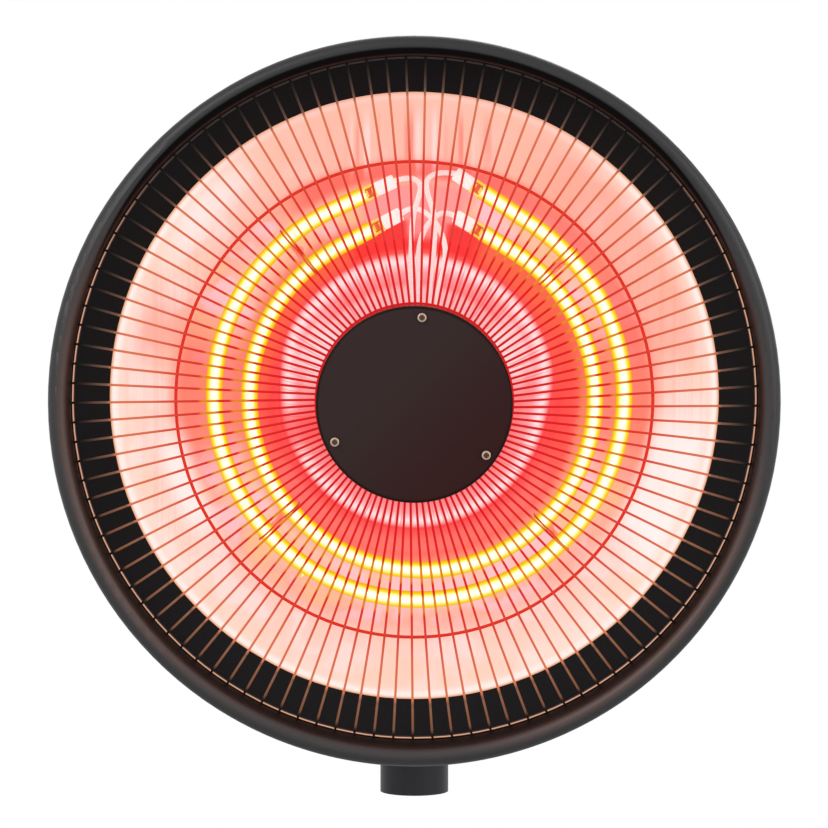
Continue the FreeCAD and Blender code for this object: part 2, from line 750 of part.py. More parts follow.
def make_baffle_ring():
    body = new_body("BaffleRing")
    profile = new_sketch(body, "XZ_Plane")
    inner, back = BAFFLE_INNER, REFLECTOR_RIM + S.baffle_flange
    behind = inner + S.baffle_sheet
    outline(profile, [(BAFFLE_OUTER, LIP_WALL_END), (inner, REFLECTOR_RIM), (inner, back), (behind, back),
                      (behind, REFLECTOR_RIM + S.baffle_sheet), (BAFFLE_OUTER, LIP_WALL_END + S.baffle_sheet)])
    revolve(body, profile)
    keep(put_on_head(body), "baffle_ring")


def make_reflector():
    body = new_body("Reflector")
    profile = new_sketch(body, "XZ_Plane")
    metal = S.reflector_sheet
    rim_inner = REFLECTOR_RADIUS - S.reflector_rim
    rim_front = REFLECTOR_RIM + S.reflector_bead
    floor = FLOOR_DEPTH + S.reflector_bead
    top = HUB_TOP
    rim_outer = REFLECTOR_RADIUS - S.reflector_bead
    outline(profile, [
        (ZERO, top), (S.hub_top_radius, top), (S.floor_inner, floor), (S.floor_outer, floor, DISH_RADIUS, -1),
        (rim_inner, rim_front), (rim_outer, rim_front),
        (rim_outer, rim_front + metal), (rim_inner, rim_front + metal, DISH_RADIUS, 1),
        (S.floor_outer, floor + metal), (S.floor_inner, floor + metal), (S.hub_top_radius, top + metal),
        (ZERO, top + metal)])
    revolve(body, profile)
    bead = new_sketch(body, "XZ_Plane")
    circle(bead, rim_outer, rim_front, S.reflector_bead)
    revolve(body, bead)
    holes = new_sketch(body, "XY_Plane")
    for x, y in POST_PLACES:
        circle(holes, x, y, S.stud_radius + S.hole_clearance)
    for x, y in LEAD_PLACES:
        circle(holes, x, y, S.eyelet_radius + S.hole_clearance)
    for angle in CLIP_ANGLES:
        x, y = clip_place(angle)
        circle(holes, x, y, S.rivet_radius + S.hole_clearance)
    pocket(body, holes)
    keep(put_on_head(body), "reflector")


# Guard and centre cover

def make_guard():
    rings = (("guard_outer_ring", OUTER_RING_RADIUS, OUTER_RING_DEPTH),
             ("guard_middle_ring", S.middle_ring_radius, wire_depth(S.middle_ring_radius) + RING_BEHIND),
             ("guard_inner_ring", INNER_RING_RADIUS, wire_depth(INNER_RING_RADIUS) + RING_BEHIND))
    for label, radius, depth in rings:
        ring = primitive("Part::Torus", label, Radius1=radius, Radius2=S.ring_wire_radius)
        keep(put_on_head(ring, depth=depth), label)
    # The wires run past the axis a little to one side, as welded, and not straight at it.
    skew = S.wire_skew.value
    start = FreeCAD.Vector(WIRE_INNER_RADIUS.value, skew, wire_depth(WIRE_INNER_RADIUS).value)
    far = OUTER_RING_RADIUS + S.wire_radius
    end = FreeCAD.Vector(far.value, skew, wire_depth(far).value)
    wire = Part.makeCylinder(S.wire_radius.value, (end - start).Length, start, end - start)
    first, step = S.wire_start.value, 360.0 / WIRE_COUNT
    spokes = [wire.rotated(FreeCAD.Vector(), Z_AXIS, first + step * number) for number in range(WIRE_COUNT)]
    put_on_head(group("guard_wires", spokes))


def make_hub_plate():
    body = new_body("HubPlate")
    face = new_sketch(body, "XY_Plane")
    circle(face, ZERO, ZERO, INNER_RING_RADIUS)
    for x, y in COVER_PLACES + POST_PLACES:
        circle(face, x, y, S.screw_radius + S.hole_clearance)
    pad(body, face, S.hub_plate_sheet)
    keep(put_on_head(body, depth=HUB_PLATE_FRONT), "guard_hub_plate")


def make_cover():
    body = new_body("Cover")
    profile = new_sketch(body, "XZ_Plane")
    metal, soft, edge = S.cover_sheet, S.cover_round, S.cover_radius
    inner = soft - metal
    outline(profile, [(ZERO, ZERO), (edge - soft, ZERO, soft, 1), (edge, soft), (edge, COVER_BACK),
                      (edge - metal, COVER_BACK), (edge - metal, soft, inner, -1), (edge - soft, metal),
                      (ZERO, metal)])
    revolve(body, profile)
    holes = new_sketch(body, "XY_Plane")
    for x, y in COVER_PLACES:
        circle(holes, x, y, S.screw_radius + S.hole_clearance)
    pocket(body, holes)
    keep(put_on_head(body), "centre_cover")
    reach = HUB_PLATE_BACK + S.nut_length
    screw = screw_shape(S.screw_radius, reach, S.screw_head_radius, S.screw_head_height)
    put_on_head(group("cover_screws", [moved(screw, x, y, 0) for x, y in COVER_PLACES]))
    nut = tube_shape(S.nut_radius, S.screw_radius + S.weld_gap, S.nut_length)
    put_on_head(group("cover_nuts", [moved(nut, x, y, HUB_PLATE_BACK) for x, y in COVER_PLACES]))


# What carries the guard and the reflector inside the bowl

def make_posts():
    bore = S.screw_radius + S.weld_gap
    standoff_length = HUB_TOP - HUB_PLATE_BACK
    standoff = Part.makeCylinder(S.post_radius.value, standoff_length.value)
    standoff = standoff.cut(Part.makeCylinder(bore.value, S.screw_length.value))
    stud_end = standoff_length + S.reflector_sheet + S.stud_length
    standoff = standoff.fuse(Part.makeCylinder(S.stud_radius.value, stud_end.value - S.screw_length.value,
                                               FreeCAD.Vector(0, 0, S.screw_length.value)))
    standoffs = [moved(standoff, x, y, HUB_PLATE_BACK) for x, y in POST_PLACES]
    put_on_head(group("hub_standoffs", standoffs))
    screw = screw_shape(S.screw_radius, S.screw_length, S.screw_head_radius, S.screw_head_height)
    put_on_head(group("hub_screws", [moved(screw, x, y, HUB_PLATE_FRONT) for x, y in POST_PLACES]))

    post_length = SHIELD_FRONT - POST_FRONT
    post = tube_shape(S.post_radius, S.stud_radius + S.weld_gap, post_length)
    put_on_head(group("reflector_posts", [moved(post, x, y, POST_FRONT) for x, y in POST_PLACES]))
    spacer = tube_shape(S.post_radius, S.stud_radius + S.hole_clearance, S.shield_gap)
    put_on_head(group("shield_spacers", [moved(spacer, x, y, SHIELD_BACK) for x, y in POST_PLACES]))
    grip = SHROUD_BACK - SHIELD_FRONT + S.stud_length
    bolt = screw_shape(S.stud_radius, grip, S.post_radius, S.stud_radius)
    bolts = [moved(bolt, x, y, SHROUD_BACK, BACK_TO_FRONT) for x, y in POST_PLACES]
    put_on_head(group("post_screws", bolts))

    body = new_body("HeatShield")
    face = new_sketch(body, "XY_Plane")
    circle(face, ZERO, ZERO, S.shield_radius)
    rectangle(face, LEAD_MIDDLE, S.lead_row, SLOT_WIDTH, SLOT_HEIGHT)
    for x, y in POST_PLACES:
        circle(face, x, y, S.stud_radius + S.hole_clearance)
    pad(body, face, S.shield_sheet)
    keep(put_on_head(body, depth=SHIELD_FRONT), "heat_shield")


# Lamps

# The two rings do not quite share a middle: each is a ring radius and its middle's place on the head.
OUTER_RING = (S.outer_ring, S.outer_shift, ZERO - S.outer_rise)
INNER_RING = (S.inner_ring, S.inner_shift, ZERO - S.inner_rise)


def lamp_end(lamp, turn, side, along):
    """A place beyond the end of a lamp's bend. turn is from the top, and side is 1 on the right."""
    ring, middle_x, middle_y = lamp
    x = middle_x + ring * sine(turn) - along * cosine(turn) * side
    y = middle_y - ring * cosine(turn) - along * sine(turn) * side
    heading = turn.value + (180.0 if side > 0 else 0.0)
    return x, y, FreeCAD.Rotation(Z_AXIS, heading)


def bent_rod(name, radius, lamp, ends, shorten):
    """A round rod along a lamp: the bend and its two straight ends."""
    ring, middle_x, middle_y = lamp
    (left, left_run), (right, right_run) = ends
    sweep = as_size(360) - right + left
    bend = primitive("Part::Torus", f"{name}_bend", Radius1=ring, Radius2=radius, Angle3=sweep)
    put(bend, middle_x, middle_y, S.lamp_depth, FreeCAD.Rotation(Z_AXIS, right.value - 90))
    pieces = [bend]
    for side, turn, run in ((-1, left, left_run), (1, right, right_run)):
        x, y, heading = lamp_end(lamp, turn, side, ZERO)
        along = heading.multiply(ALONG_X)
        pieces.append(cylinder(f"{name}_end", radius, run - shorten, x, y, S.lamp_depth, along))
    return fuse(f"{name}_rod", pieces)


def make_lamp(name, lamp, ends):
    """Glass tube with pinched ends, its filament, and the shapes of its two ceramic ends."""
    glass = cut(f"{name}_hollow", bent_rod(f"{name}_glass", S.tube_radius, lamp, ends, ZERO),
                bent_rod(f"{name}_bore", S.tube_radius - S.tube_wall, lamp, ends, ZERO))
    pieces = [glass]
    ceramics = []
    for side, (turn, run) in zip((-1, 1), ends):
        x, y, heading = lamp_end(lamp, turn, side, run - S.pinch_overlap)
        pinch = primitive("Part::Box", f"{name}_pinch", Length=S.pinch_length + S.pinch_overlap,
                          Width=S.pinch_width, Height=S.pinch_thickness)
        across = heading.multVec(Y_AXIS)
        half = S.pinch_width / 2
        put(pinch, x - half * across.x, y - half * across.y, S.lamp_depth - S.pinch_thickness / 2, heading)
        pieces.append(pinch)
        x, y, heading = lamp_end(lamp, turn, side, run + S.pinch_length)
        wide, thick = S.ceramic_width.value, S.ceramic_thickness.value
        corner = FreeCAD.Vector(0, -wide / 2, -thick / 2)
        ceramic = Part.makeBox(S.ceramic_length.value, wide, thick, corner)
        ceramic = ceramic.makeFillet(S.ceramic_round.value, ceramic.Edges)
        ceramics.append(moved(ceramic, x, y, S.lamp_depth, heading))
    keep(put_on_head(fuse(f"{name}_tube", pieces)), f"{name}_tube")
    filament = bent_rod(f"{name}_filament", S.filament_radius, lamp, ends, S.pinch_overlap + S.hole_clearance)
    keep(put_on_head(filament), f"{name}_filament")
    return ceramics


OUTER_ENDS = ((S.gap_angle - S.outer_left_gap, S.outer_left_straight),
              (S.gap_angle + S.outer_right_gap, S.outer_right_straight))
INNER_ENDS = ((S.gap_angle - S.inner_left_gap, S.inner_left_straight),
              (S.gap_angle + S.inner_right_gap, S.inner_right_straight))


def make_lamps():
    ceramics = make_lamp("outer", OUTER_RING, OUTER_ENDS) + make_lamp("inner", INNER_RING, INNER_ENDS)
    put_on_head(group("tube_ceramics", ceramics))


# Lamp clips

CLIP_ROUND = S.tube_radius + S.clip_gap + S.clip_wire
BAR_FRONT = S.lamp_depth + S.tube_radius + S.clip_gap


def clip_reach(angle):
    """How far from the outer lamp's middle a clip meets the inner and the outer tube."""
    aside_x = S.inner_shift - S.outer_shift
    aside_y = S.outer_rise - S.inner_rise
    along = aside_x * cosine(angle) + aside_y * sine(angle)
    across = aside_y * cosine(angle) - aside_x * sine(angle)
    return along + root(S.inner_ring * S.inner_ring - across * across), S.outer_ring


def clip_place(angle):
    """Where a lamp clip's post stands on the reflector."""
    angle = as_size(angle)
    inner, outer = clip_reach(angle)
    middle = (inner + outer) / 2
    return S.outer_shift + middle * cosine(angle), middle * sine(angle) - S.outer_rise


def dish_depth_at(radius):
    """Depth of the reflector's face where its dish is an arc."""
    run = radius - S.floor_outer.value
    fall = DISH_RADIUS.value - math.sqrt(DISH_RADIUS.value ** 2 - run ** 2)
    return FLOOR_DEPTH.value + S.reflector_bead.value - fall


def clip_wire_shape(inner, outer):
    """The spring wire over both tubes, in the plane of x outwards from the outer lamp's middle and z."""
    depth = S.lamp_depth.value
    tail = BAR_FRONT.value + S.bracket_sheet.value
    middle = (inner + outer) / 2
    over = CLIP_ROUND.value
    dip = (outer - inner) / 2 - over

    def spot(x, z):
        return FreeCAD.Vector(x, 0, z)

    edges = [
        Part.LineSegment(spot(inner - over, tail), spot(inner - over, depth)),
        Part.Arc(spot(inner - over, depth), spot(inner, depth - over), spot(inner + over, depth)),
        Part.Arc(spot(inner + over, depth), spot(middle, depth + dip), spot(outer - over, depth)),
        Part.Arc(spot(outer - over, depth), spot(outer, depth - over), spot(outer + over, depth)),
        Part.LineSegment(spot(outer + over, depth), spot(outer + over, tail)),
    ]
    path = Part.Wire([edge.toShape() for edge in edges])
    section = Part.Wire(Part.makeCircle(S.clip_wire.value, spot(inner - over, tail), Z_AXIS))
    return path.makePipeShell([section], True, False)


def make_clips():
    wide, metal = S.bracket_width.value, S.bracket_sheet.value
    wires, brackets, rivets = [], [], []
    for angle in CLIP_ANGLES:
        x, y = clip_place(angle)
        inner, outer = [reach.value for reach in clip_reach(as_size(angle))]
        middle = (inner + outer) / 2
        bar_inner = inner - CLIP_ROUND.value + S.clip_wire.value + S.hole_clearance.value
        bar_outer = outer + CLIP_ROUND.value - S.clip_wire.value - S.hole_clearance.value
        seat = dish_depth_at(math.hypot(x.value, y.value))
        turn = FreeCAD.Rotation(Z_AXIS, angle)
        wires.append(moved(clip_wire_shape(inner, outer), S.outer_shift, ZERO - S.outer_rise, 0, turn))
        bar_corner = FreeCAD.Vector(bar_inner, -wide / 2, BAR_FRONT.value)
        bar = Part.makeBox(bar_outer - bar_inner, wide, metal, bar_corner)
        foot = seat - S.clip_gap.value - S.bracket_post.value * S.dish_depth.value / DISH_RUN.value
        post_start = FreeCAD.Vector(middle, 0, BAR_FRONT.value)
        post = Part.makeCylinder(S.bracket_post.value, foot - BAR_FRONT.value, post_start)
        bore_start = FreeCAD.Vector(middle, 0, foot - S.rivet_grip.value)
        bore = Part.makeCylinder(S.rivet_radius.value + S.weld_gap.value, S.rivet_grip.value, bore_start)
        brackets.append(moved(bar.fuse(post).cut(bore), S.outer_shift, ZERO - S.outer_rise, 0, turn))
        behind = seat + S.reflector_sheet.value + S.clip_gap.value
        shank = Part.makeCylinder(S.rivet_radius.value, behind - foot + S.rivet_grip.value,
                                  FreeCAD.Vector(0, 0, foot - S.rivet_grip.value))
        head = Part.makeCylinder(S.rivet_radius.value * 2, S.rivet_radius.value, FreeCAD.Vector(0, 0, behind))
        rivets.append(moved(shank.fuse(head), x, y, 0))
    put_on_head(group("tube_clips", wires))
    put_on_head(group("tube_brackets", brackets))
    put_on_head(group("bracket_rivets", rivets))


# Leads

def lead_solid(label, points, radius):
    """A round lead along straight runs joined by tangent arcs."""
    edges = []
    radii = []
    start = points[0]
    for before, corner, after in zip(points, points[1:], points[2:]):
        into, out = corner - before, after - corner
        turn = into.getAngle(out)
        trim = 0.45 * min(into.Length, out.Length)
        radii.append(round(trim / math.tan(turn / 2), 1))
        into.normalize()
        out.normalize()
        first, last = corner - into * trim, corner + out * trim
        bisector = (out - into).normalize()
        sag = trim / math.tan(turn / 2) * (1 / math.cos(turn / 2) - 1)
        edges.append(Part.LineSegment(start, first).toShape())
        edges.append(Part.Arc(first, corner + bisector * sag, last).toShape())
        start = last
    edges.append(Part.LineSegment(start, points[-1]).toShape())
    path = Part.Wire(edges)
    section = Part.Wire(Part.makeCircle(radius, points[0], points[1] - points[0]))
    solid = path.makePipeShell([section], True, False)
    ideal = math.pi * radius ** 2 * path.Length
    print(f"{label}: length {path.Length:.1f} mm, radii {radii}, volume / ideal {solid.Volume / ideal:.4f}")
    return solid


def make_leads():
    starts = {
        "lead_outer_left": lamp_end(OUTER_RING, OUTER_ENDS[0][0], -1, OUTER_ENDS[0][1] + LEAD_START),
        "lead_outer_right": lamp_end(OUTER_RING, OUTER_ENDS[1][0], 1, OUTER_ENDS[1][1] + LEAD_START),
        "lead_inner_left": lamp_end(INNER_RING, INNER_ENDS[0][0], -1, INNER_ENDS[0][1] + LEAD_START),
        "lead_inner_right": lamp_end(INNER_RING, INNER_ENDS[1][0], 1, INNER_ENDS[1][1] + LEAD_START),
    }
    lamps = S.lamp_depth.value
    for (label, route), (hole_x, hole_y) in zip(LEAD_ROUTES.items(), LEAD_PLACES):
        x, y, _ = starts[label]
        points = [FreeCAD.Vector(x.value, y.value, lamps)]
        points += [FreeCAD.Vector(px, py, lamps + pz) for px, py, pz in route]
        points.append(FreeCAD.Vector(hole_x.value, hole_y.value, LEAD_TURN.value))
        points.append(FreeCAD.Vector(hole_x.value, hole_y.value, LEAD_END.value))
        lead = doc.addObject("Part::Feature", label)
        lead.Shape = lead_solid(label, points, S.lead_radius.value)
        keep(put_on_head(lead), label)


LEAD_START = S.pinch_length + S.ceramic_length + S.lead_setback
BLOCK_FRONT = SHROUD_BACK + S.grommet_flange + S.weld_gap
LEAD_END = BLOCK_FRONT + S.lead_entry
LEAD_TURN = HUB_TOP - S.eyelet_flange_thickness - S.lead_turn


def make_lead_holders():
    bore = S.lead_radius + S.lead_gap
    flange = Part.makeCylinder(S.eyelet_flange.value, S.eyelet_flange_thickness.value,
                               FreeCAD.Vector(0, 0, -S.eyelet_flange_thickness.value))
    eyelet = flange.fuse(Part.makeCylinder(S.eyelet_radius.value, S.eyelet_length.value))
    eyelet = eyelet.cut(Part.makeCylinder(bore.value, S.eyelet_length.value * 2,
                                          FreeCAD.Vector(0, 0, -S.eyelet_length.value)))
    put_on_head(group("lead_eyelets", [moved(eyelet, x, y, HUB_TOP) for x, y in LEAD_PLACES]))

    inside = SHROUD_BACK - S.shroud_sheet * 3
    fit = S.hole_clearance * 2
    plug = block("GrommetPlug", SLOT_WIDTH - fit, SLOT_HEIGHT - fit, S.shroud_sheet * 3, LEAD_MIDDLE,
                 S.lead_row, inside)
    lip = block("GrommetLip", SLOT_WIDTH + S.grommet_flange * 2, SLOT_HEIGHT + S.grommet_flange * 2,
                S.grommet_flange, LEAD_MIDDLE, S.lead_row, SHROUD_BACK)
    length = S.shroud_sheet * 3 + S.grommet_flange
    bores = [cylinder(f"GrommetBore{number}", bore, length, x, y, inside)
             for number, (x, y) in enumerate(LEAD_PLACES)]
    grommet = cut("LeadGrommet", fuse("GrommetBlank", [plug, lip]), fuse("GrommetBores", bores))
    keep(put_on_head(grommet), "lead_grommet")


# Rear housing and the electrics in it

def make_housing():
    body = new_body("Housing")
    profile = new_sketch(body, "XZ_Plane")
    edge, wall, soft = S.housing_radius, S.housing_wall, S.housing_round
    back, brim = HOUSING_BACK, S.housing_radius + S.housing_flange
    outline(profile, [
        (edge - wall, SHROUD_BACK), (brim, SHROUD_BACK), (brim, SHROUD_BACK + wall),
        (edge, SHROUD_BACK + wall), (edge, back - soft, soft, 1), (edge - soft, back), (ZERO, back),
        (ZERO, back - wall),
        (edge - soft, back - wall, soft - wall, -1), (edge - wall, back - soft)])
    revolve(body, profile)
    holes = new_sketch(body, "XY_Plane")
    for side in (-1, 1):
        rectangle(holes, S.switch_spacing / 2 * side, S.switch_row, S.switch_width + S.switch_clearance * 2,
                  S.switch_height + S.switch_clearance * 2)
    for x, y in PLATE_PLACES:
        circle(holes, x, y, S.plate_bolt_radius + S.hole_clearance)
    for x, y in HOUSING_PLACES:
        circle(holes, x, y, S.screw_radius + S.hole_clearance)
    pocket(body, holes)
    inlet = new_sketch(body, "XZ_Plane")
    circle(inlet, ZERO, SHROUD_BACK + S.gland_depth, S.gland_neck + S.hole_clearance)
    pocket(body, inlet, forwards=False)
    keep(put_on_head(body), "rear_housing")
    screw = screw_shape(S.screw_radius, S.screw_length, S.screw_head_radius, S.screw_head_height)
    seat = SHROUD_BACK + S.housing_wall
    screws = [moved(screw, x, y, seat, BACK_TO_FRONT) for x, y in HOUSING_PLACES]
    put_on_head(group("housing_screws", screws))


def make_electrics():
    blank = block("TerminalBlank", S.block_width, S.block_height, S.block_depth, LEAD_MIDDLE, S.lead_row,
                  BLOCK_FRONT)
    entries = [cylinder(f"TerminalEntry{number}", S.lead_radius + S.lead_gap, S.lead_entry + S.lead_gap,
                        x, y, BLOCK_FRONT) for number, (x, y) in enumerate(LEAD_PLACES)]
    threads = [cylinder(f"TerminalThread{number}", S.block_screw_radius + S.weld_gap, S.block_depth / 2,
                        x, y, BLOCK_FRONT + S.block_depth / 2) for number, (x, y) in enumerate(LEAD_PLACES)]
    terminal = cut("TerminalBlock", blank, fuse("TerminalHoles", entries + threads))
    keep(put_on_head(terminal), "terminal_block")
    screw = screw_shape(S.block_screw_radius, S.block_depth / 2 - S.lead_gap, S.block_screw_radius * 1.6,
                        S.block_screw_radius)
    top = BLOCK_FRONT + S.block_depth
    screws = [moved(screw, x, y, top, BACK_TO_FRONT) for x, y in LEAD_PLACES]
    put_on_head(group("terminal_screws", screws))

    can = cylinder("CutoutCan", S.cutout_radius, S.cutout_height, S.cutout_x, S.cutout_y, SHROUD_BACK)
    ear = block("CutoutEar", S.cutout_radius * 3, S.cutout_radius, S.shroud_sheet, S.cutout_x, S.cutout_y,
                SHROUD_BACK)
    tabs = [block(f"CutoutTab{side}", S.shroud_sheet, S.cutout_radius / 2, S.cutout_height * 1.6,
                  S.cutout_x + S.cutout_radius / 2 * side, S.cutout_y, SHROUD_BACK) for side in (-1, 1)]
    keep(put_on_head(fuse("ThermalCutout", [can, ear] + tabs)), "thermal_cutout")

    side, x, y = S.tip_switch_side, S.tip_switch_x, S.tip_switch_y
    case = block("TipCase", side, side, S.tip_switch_depth, x, y, SHROUD_BACK)
    foot = block("TipFoot", side * 1.6, side / 2, S.shroud_sheet * 2, x, y, SHROUD_BACK)
    keep(put_on_head(fuse("TipSwitch", [case, foot])), "tip_over_switch")


# Rocker switches

ROCKER_DEPTH = HOUSING_BACK + S.rocker_pivot


def make_switch(side, name):
    """A switch frame snapped into the housing's back, and the rocker that tips in it."""
    x, y = S.switch_spacing / 2 * side, S.switch_row
    bezel = block(f"Bezel_{name}", S.switch_width + S.bezel_margin * 2, S.switch_height + S.bezel_margin * 2,
                  S.bezel_thickness, x, y, HOUSING_BACK)
    case = block(f"Case_{name}", S.switch_width, S.switch_height, S.switch_depth, x, y,
                 HOUSING_BACK - S.switch_depth)
    well_width = S.rocker_width + S.rocker_gap * 2
    well_height = (S.rocker_reach + S.rocker_end_gap) * 2
    well = block(f"Well_{name}", well_width, well_height, S.switch_depth / 2 + S.bezel_thickness,
                 x, y, HOUSING_BACK - S.switch_depth / 2)
    reach = well_width / 2 + S.trunnion_reach
    pin_hole = cylinder(f"PinHole_{name}", S.trunnion_radius + S.pivot_clearance, (reach + S.weld_gap) * 2,
                        x - reach - S.weld_gap, y, ROCKER_DEPTH, ALONG_X)
    blank = fuse(f"FrameBlank_{name}", [bezel, case])
    frame = cut(f"SwitchFrame_{name}", blank, fuse(f"FrameTools_{name}", [well, pin_hole]))
    keep(put_on_head(frame), f"switch_frame_{name}")

    body = new_body(f"Rocker_{name}")
    profile = new_sketch(body, "YZ_Plane", -(S.rocker_width / 2))
    flank, reach_up, reach_down = S.rocker_pivot, S.rocker_reach, -S.rocker_reach
    outline(profile, [(-S.rocker_foot, -S.rocker_drop), (S.rocker_foot, -S.rocker_drop), (reach_up, flank),
                      (reach_up, S.rocker_crest), (ZERO, S.rocker_waist), (reach_down, S.rocker_crest),
                      (reach_down, flank)])
    pad(body, profile, S.rocker_width)
    pin = new_sketch(body, "YZ_Plane", -reach)
    circle(pin, ZERO, ZERO, S.trunnion_radius)
    pad(body, pin, reach * 2)
    rest = FreeCAD.Rotation(X_AXIS, S.rocker_rest.value)
    keep(put_on_head(body, x, y, ROCKER_DEPTH, rest), f"rocker_{name}")


# Cable gland, pointing down from the housing

def make_gland():
    depth = SHROUD_BACK + S.gland_depth
    seat = S.housing_radius + S.weld_gap
    neck_start = S.housing_radius - S.housing_wall * 2 - S.locknut_height
    end = seat + S.gland_hex_height + S.gland_thread
    neck = cylinder("GlandNeck", S.gland_neck, end - neck_start, ZERO, neck_start, depth, ALONG_Y)
    grip = hexagon("GlandGrip", S.gland_hex, S.gland_hex_height, ZERO, seat, depth, ALONG_Y)
    bore = cylinder("GlandBore", S.gland_bore, end - neck_start, ZERO, neck_start, depth, ALONG_Y)
    keep(put_on_head(cut("GlandBody", fuse("GlandBlank", [neck, grip]), bore)), "gland_body")

    cap_start = seat + S.gland_hex_height + S.hole_clearance
    roof = S.gland_cap_length - S.gland_thread - S.gland_cap_wall
    cap = cylinder("CapBlank", S.gland_neck + S.gland_cap_wall, S.gland_cap_length, ZERO, cap_start, depth,
                   ALONG_Y)
    thread_bore = S.gland_neck + S.weld_gap
    thread = cylinder("CapThread", thread_bore, S.gland_thread + roof, ZERO, cap_start, depth, ALONG_Y)
    mouth = cylinder("CapMouth", S.gland_bore, S.gland_cap_length, ZERO, cap_start, depth, ALONG_Y)
    keep(put_on_head(cut("GlandCap", cap, fuse("CapTools", [thread, mouth]))), "gland_cap")

    seal_start = end + S.weld_gap - S.seal_length + roof
    seal = cylinder("SealBlank", S.gland_bore - S.weld_gap, S.seal_length, ZERO, seal_start, depth, ALONG_Y)
    seal_hole = cylinder("SealBore", S.seal_bore, S.seal_length, ZERO, seal_start, depth, ALONG_Y)
    keep(put_on_head(cut("GlandSeal", seal, seal_hole)), "gland_seal")

    nut = hexagon("LocknutBlank", S.gland_hex, S.locknut_height, ZERO, neck_start, depth, ALONG_Y)
    nut_hole = cylinder("LocknutBore", thread_bore, S.locknut_height, ZERO, neck_start, depth, ALONG_Y)
    keep(put_on_head(cut("GlandLocknut", nut, nut_hole)), "gland_locknut")


# Tilt bracket

def make_tilt_bracket():
    body = new_body("TiltBracket")
    face = new_sketch(body, "XY_Plane", HOUSING_BACK)
    rectangle(face, ZERO, ZERO, S.plate_side, S.plate_side)
    for x, y in PLATE_PLACES:
        circle(face, x, y, S.plate_bolt_radius + S.hole_clearance)
    pad(body, face, S.plate_thickness)
    tongue = new_sketch(body, "YZ_Plane", -(S.tongue_thickness / 2))
    foot = HOUSING_BACK + S.plate_thickness
    eye_outline(tongue, [(-S.tongue_foot, foot), (S.tongue_foot, foot)], (ZERO, PIVOT_DEPTH), S.tongue_radius)
    pad(body, tongue, S.tongue_thickness)
    hole = new_sketch(body, "YZ_Plane")
    circle(hole, ZERO, PIVOT_DEPTH, S.pivot_bolt_radius + S.pivot_clearance)
    pocket(body, hole, both=True)
    keep(put_on_head(body), "tilt_bracket")
    grip = S.plate_thickness + S.housing_wall + S.plate_nut_height
    bolt = screw_shape(S.plate_bolt_radius, grip, S.plate_bolt_head, S.plate_bolt_head_height)
    bolts = [moved(bolt, x, y, HOUSING_BACK + S.plate_thickness, BACK_TO_FRONT) for x, y in PLATE_PLACES]
    put_on_head(group("bracket_bolts", bolts))
    nut = tube_shape(S.plate_nut_radius, S.plate_bolt_radius + S.weld_gap, S.plate_nut_height)
    nut_front = HOUSING_BACK - S.housing_wall - S.plate_nut_height
    put_on_head(group("bracket_nuts", [moved(nut, x, y, nut_front) for x, y in PLATE_PLACES]))


make_pole_tube()
make_pole_lock()
make_knuckle()
make_pivot()
make_knob()
make_shroud()
make_baffle_ring()
make_reflector()
make_guard()
make_hub_plate()
make_cover()
make_posts()
make_lamps()
make_clips()
make_leads()
make_lead_holders()
make_housing()
make_electrics()
make_switch(-1, "left")
make_switch(1, "right")
make_gland()
make_tilt_bracket()
doc.recompute()

# Nothing is written unless every object is sound.
faults = [obj.Name for obj in doc.Objects if {"Invalid", "Error"} & set(obj.State)]
faults += [part.Label for part in sub_parts if part.Shape.isNull() or not part.Shape.isValid()]
if faults:
    raise ValueError(f"faulty objects: {faults}")
os.makedirs("parts", exist_ok=True)
for part in sub_parts:
    part.Shape.exportStep(os.path.join("parts", f"{part.Label}.step"))
print(f"{len(sub_parts)} sub-parts written")
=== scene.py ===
# %% [markdown]
# # An infrared patio heater head, seen from the front
#
# The head is a black bowl with a bright spun reflector in it. Two quartz lamps, bent into rings, glow
# behind a guard of thin wires, and a round cover hides the middle. The solid model already holds every
# piece in its true place, so this lesson gives the pieces their finishes and adds what is too fine
# for a solid model.

# %% Load the solid model
import json
import math

import bpy
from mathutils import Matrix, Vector


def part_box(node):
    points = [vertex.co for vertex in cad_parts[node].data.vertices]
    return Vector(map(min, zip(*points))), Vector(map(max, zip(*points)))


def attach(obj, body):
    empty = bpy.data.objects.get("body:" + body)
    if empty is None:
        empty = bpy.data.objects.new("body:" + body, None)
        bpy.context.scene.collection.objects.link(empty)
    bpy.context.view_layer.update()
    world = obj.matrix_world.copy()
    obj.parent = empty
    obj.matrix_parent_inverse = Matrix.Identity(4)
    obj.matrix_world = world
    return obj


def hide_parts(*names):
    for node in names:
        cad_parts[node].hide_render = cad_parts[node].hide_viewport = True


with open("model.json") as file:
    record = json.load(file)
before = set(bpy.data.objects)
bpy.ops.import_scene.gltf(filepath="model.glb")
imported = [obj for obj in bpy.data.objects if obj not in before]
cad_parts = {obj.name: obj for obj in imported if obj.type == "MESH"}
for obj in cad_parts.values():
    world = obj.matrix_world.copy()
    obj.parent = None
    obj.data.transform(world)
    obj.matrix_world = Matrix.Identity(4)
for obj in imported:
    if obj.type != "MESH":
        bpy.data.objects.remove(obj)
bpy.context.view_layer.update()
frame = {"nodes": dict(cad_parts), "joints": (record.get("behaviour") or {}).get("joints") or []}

nodes_by_name = frame["nodes"]

# %% [markdown]
# ## The frame of the head
#
# Distances on the head are given as a viewer in front sees them: right, down, and back from the face
# of the centre cover. One short function turns them into the scene's metres. It saves many sums later.

# %% Places on the head
MM = 0.001
RIM_BACK = 14.7
AXIS_HEIGHT = frame["joints"][0]["pos_m"][2]
COVER_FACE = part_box("centre_cover")[0][1]


def on_head(right, down, back):
    """A point in the scene from millimetres on the head."""
    return Vector((right * MM, COVER_FACE + back * MM, AXIS_HEIGHT - down * MM))


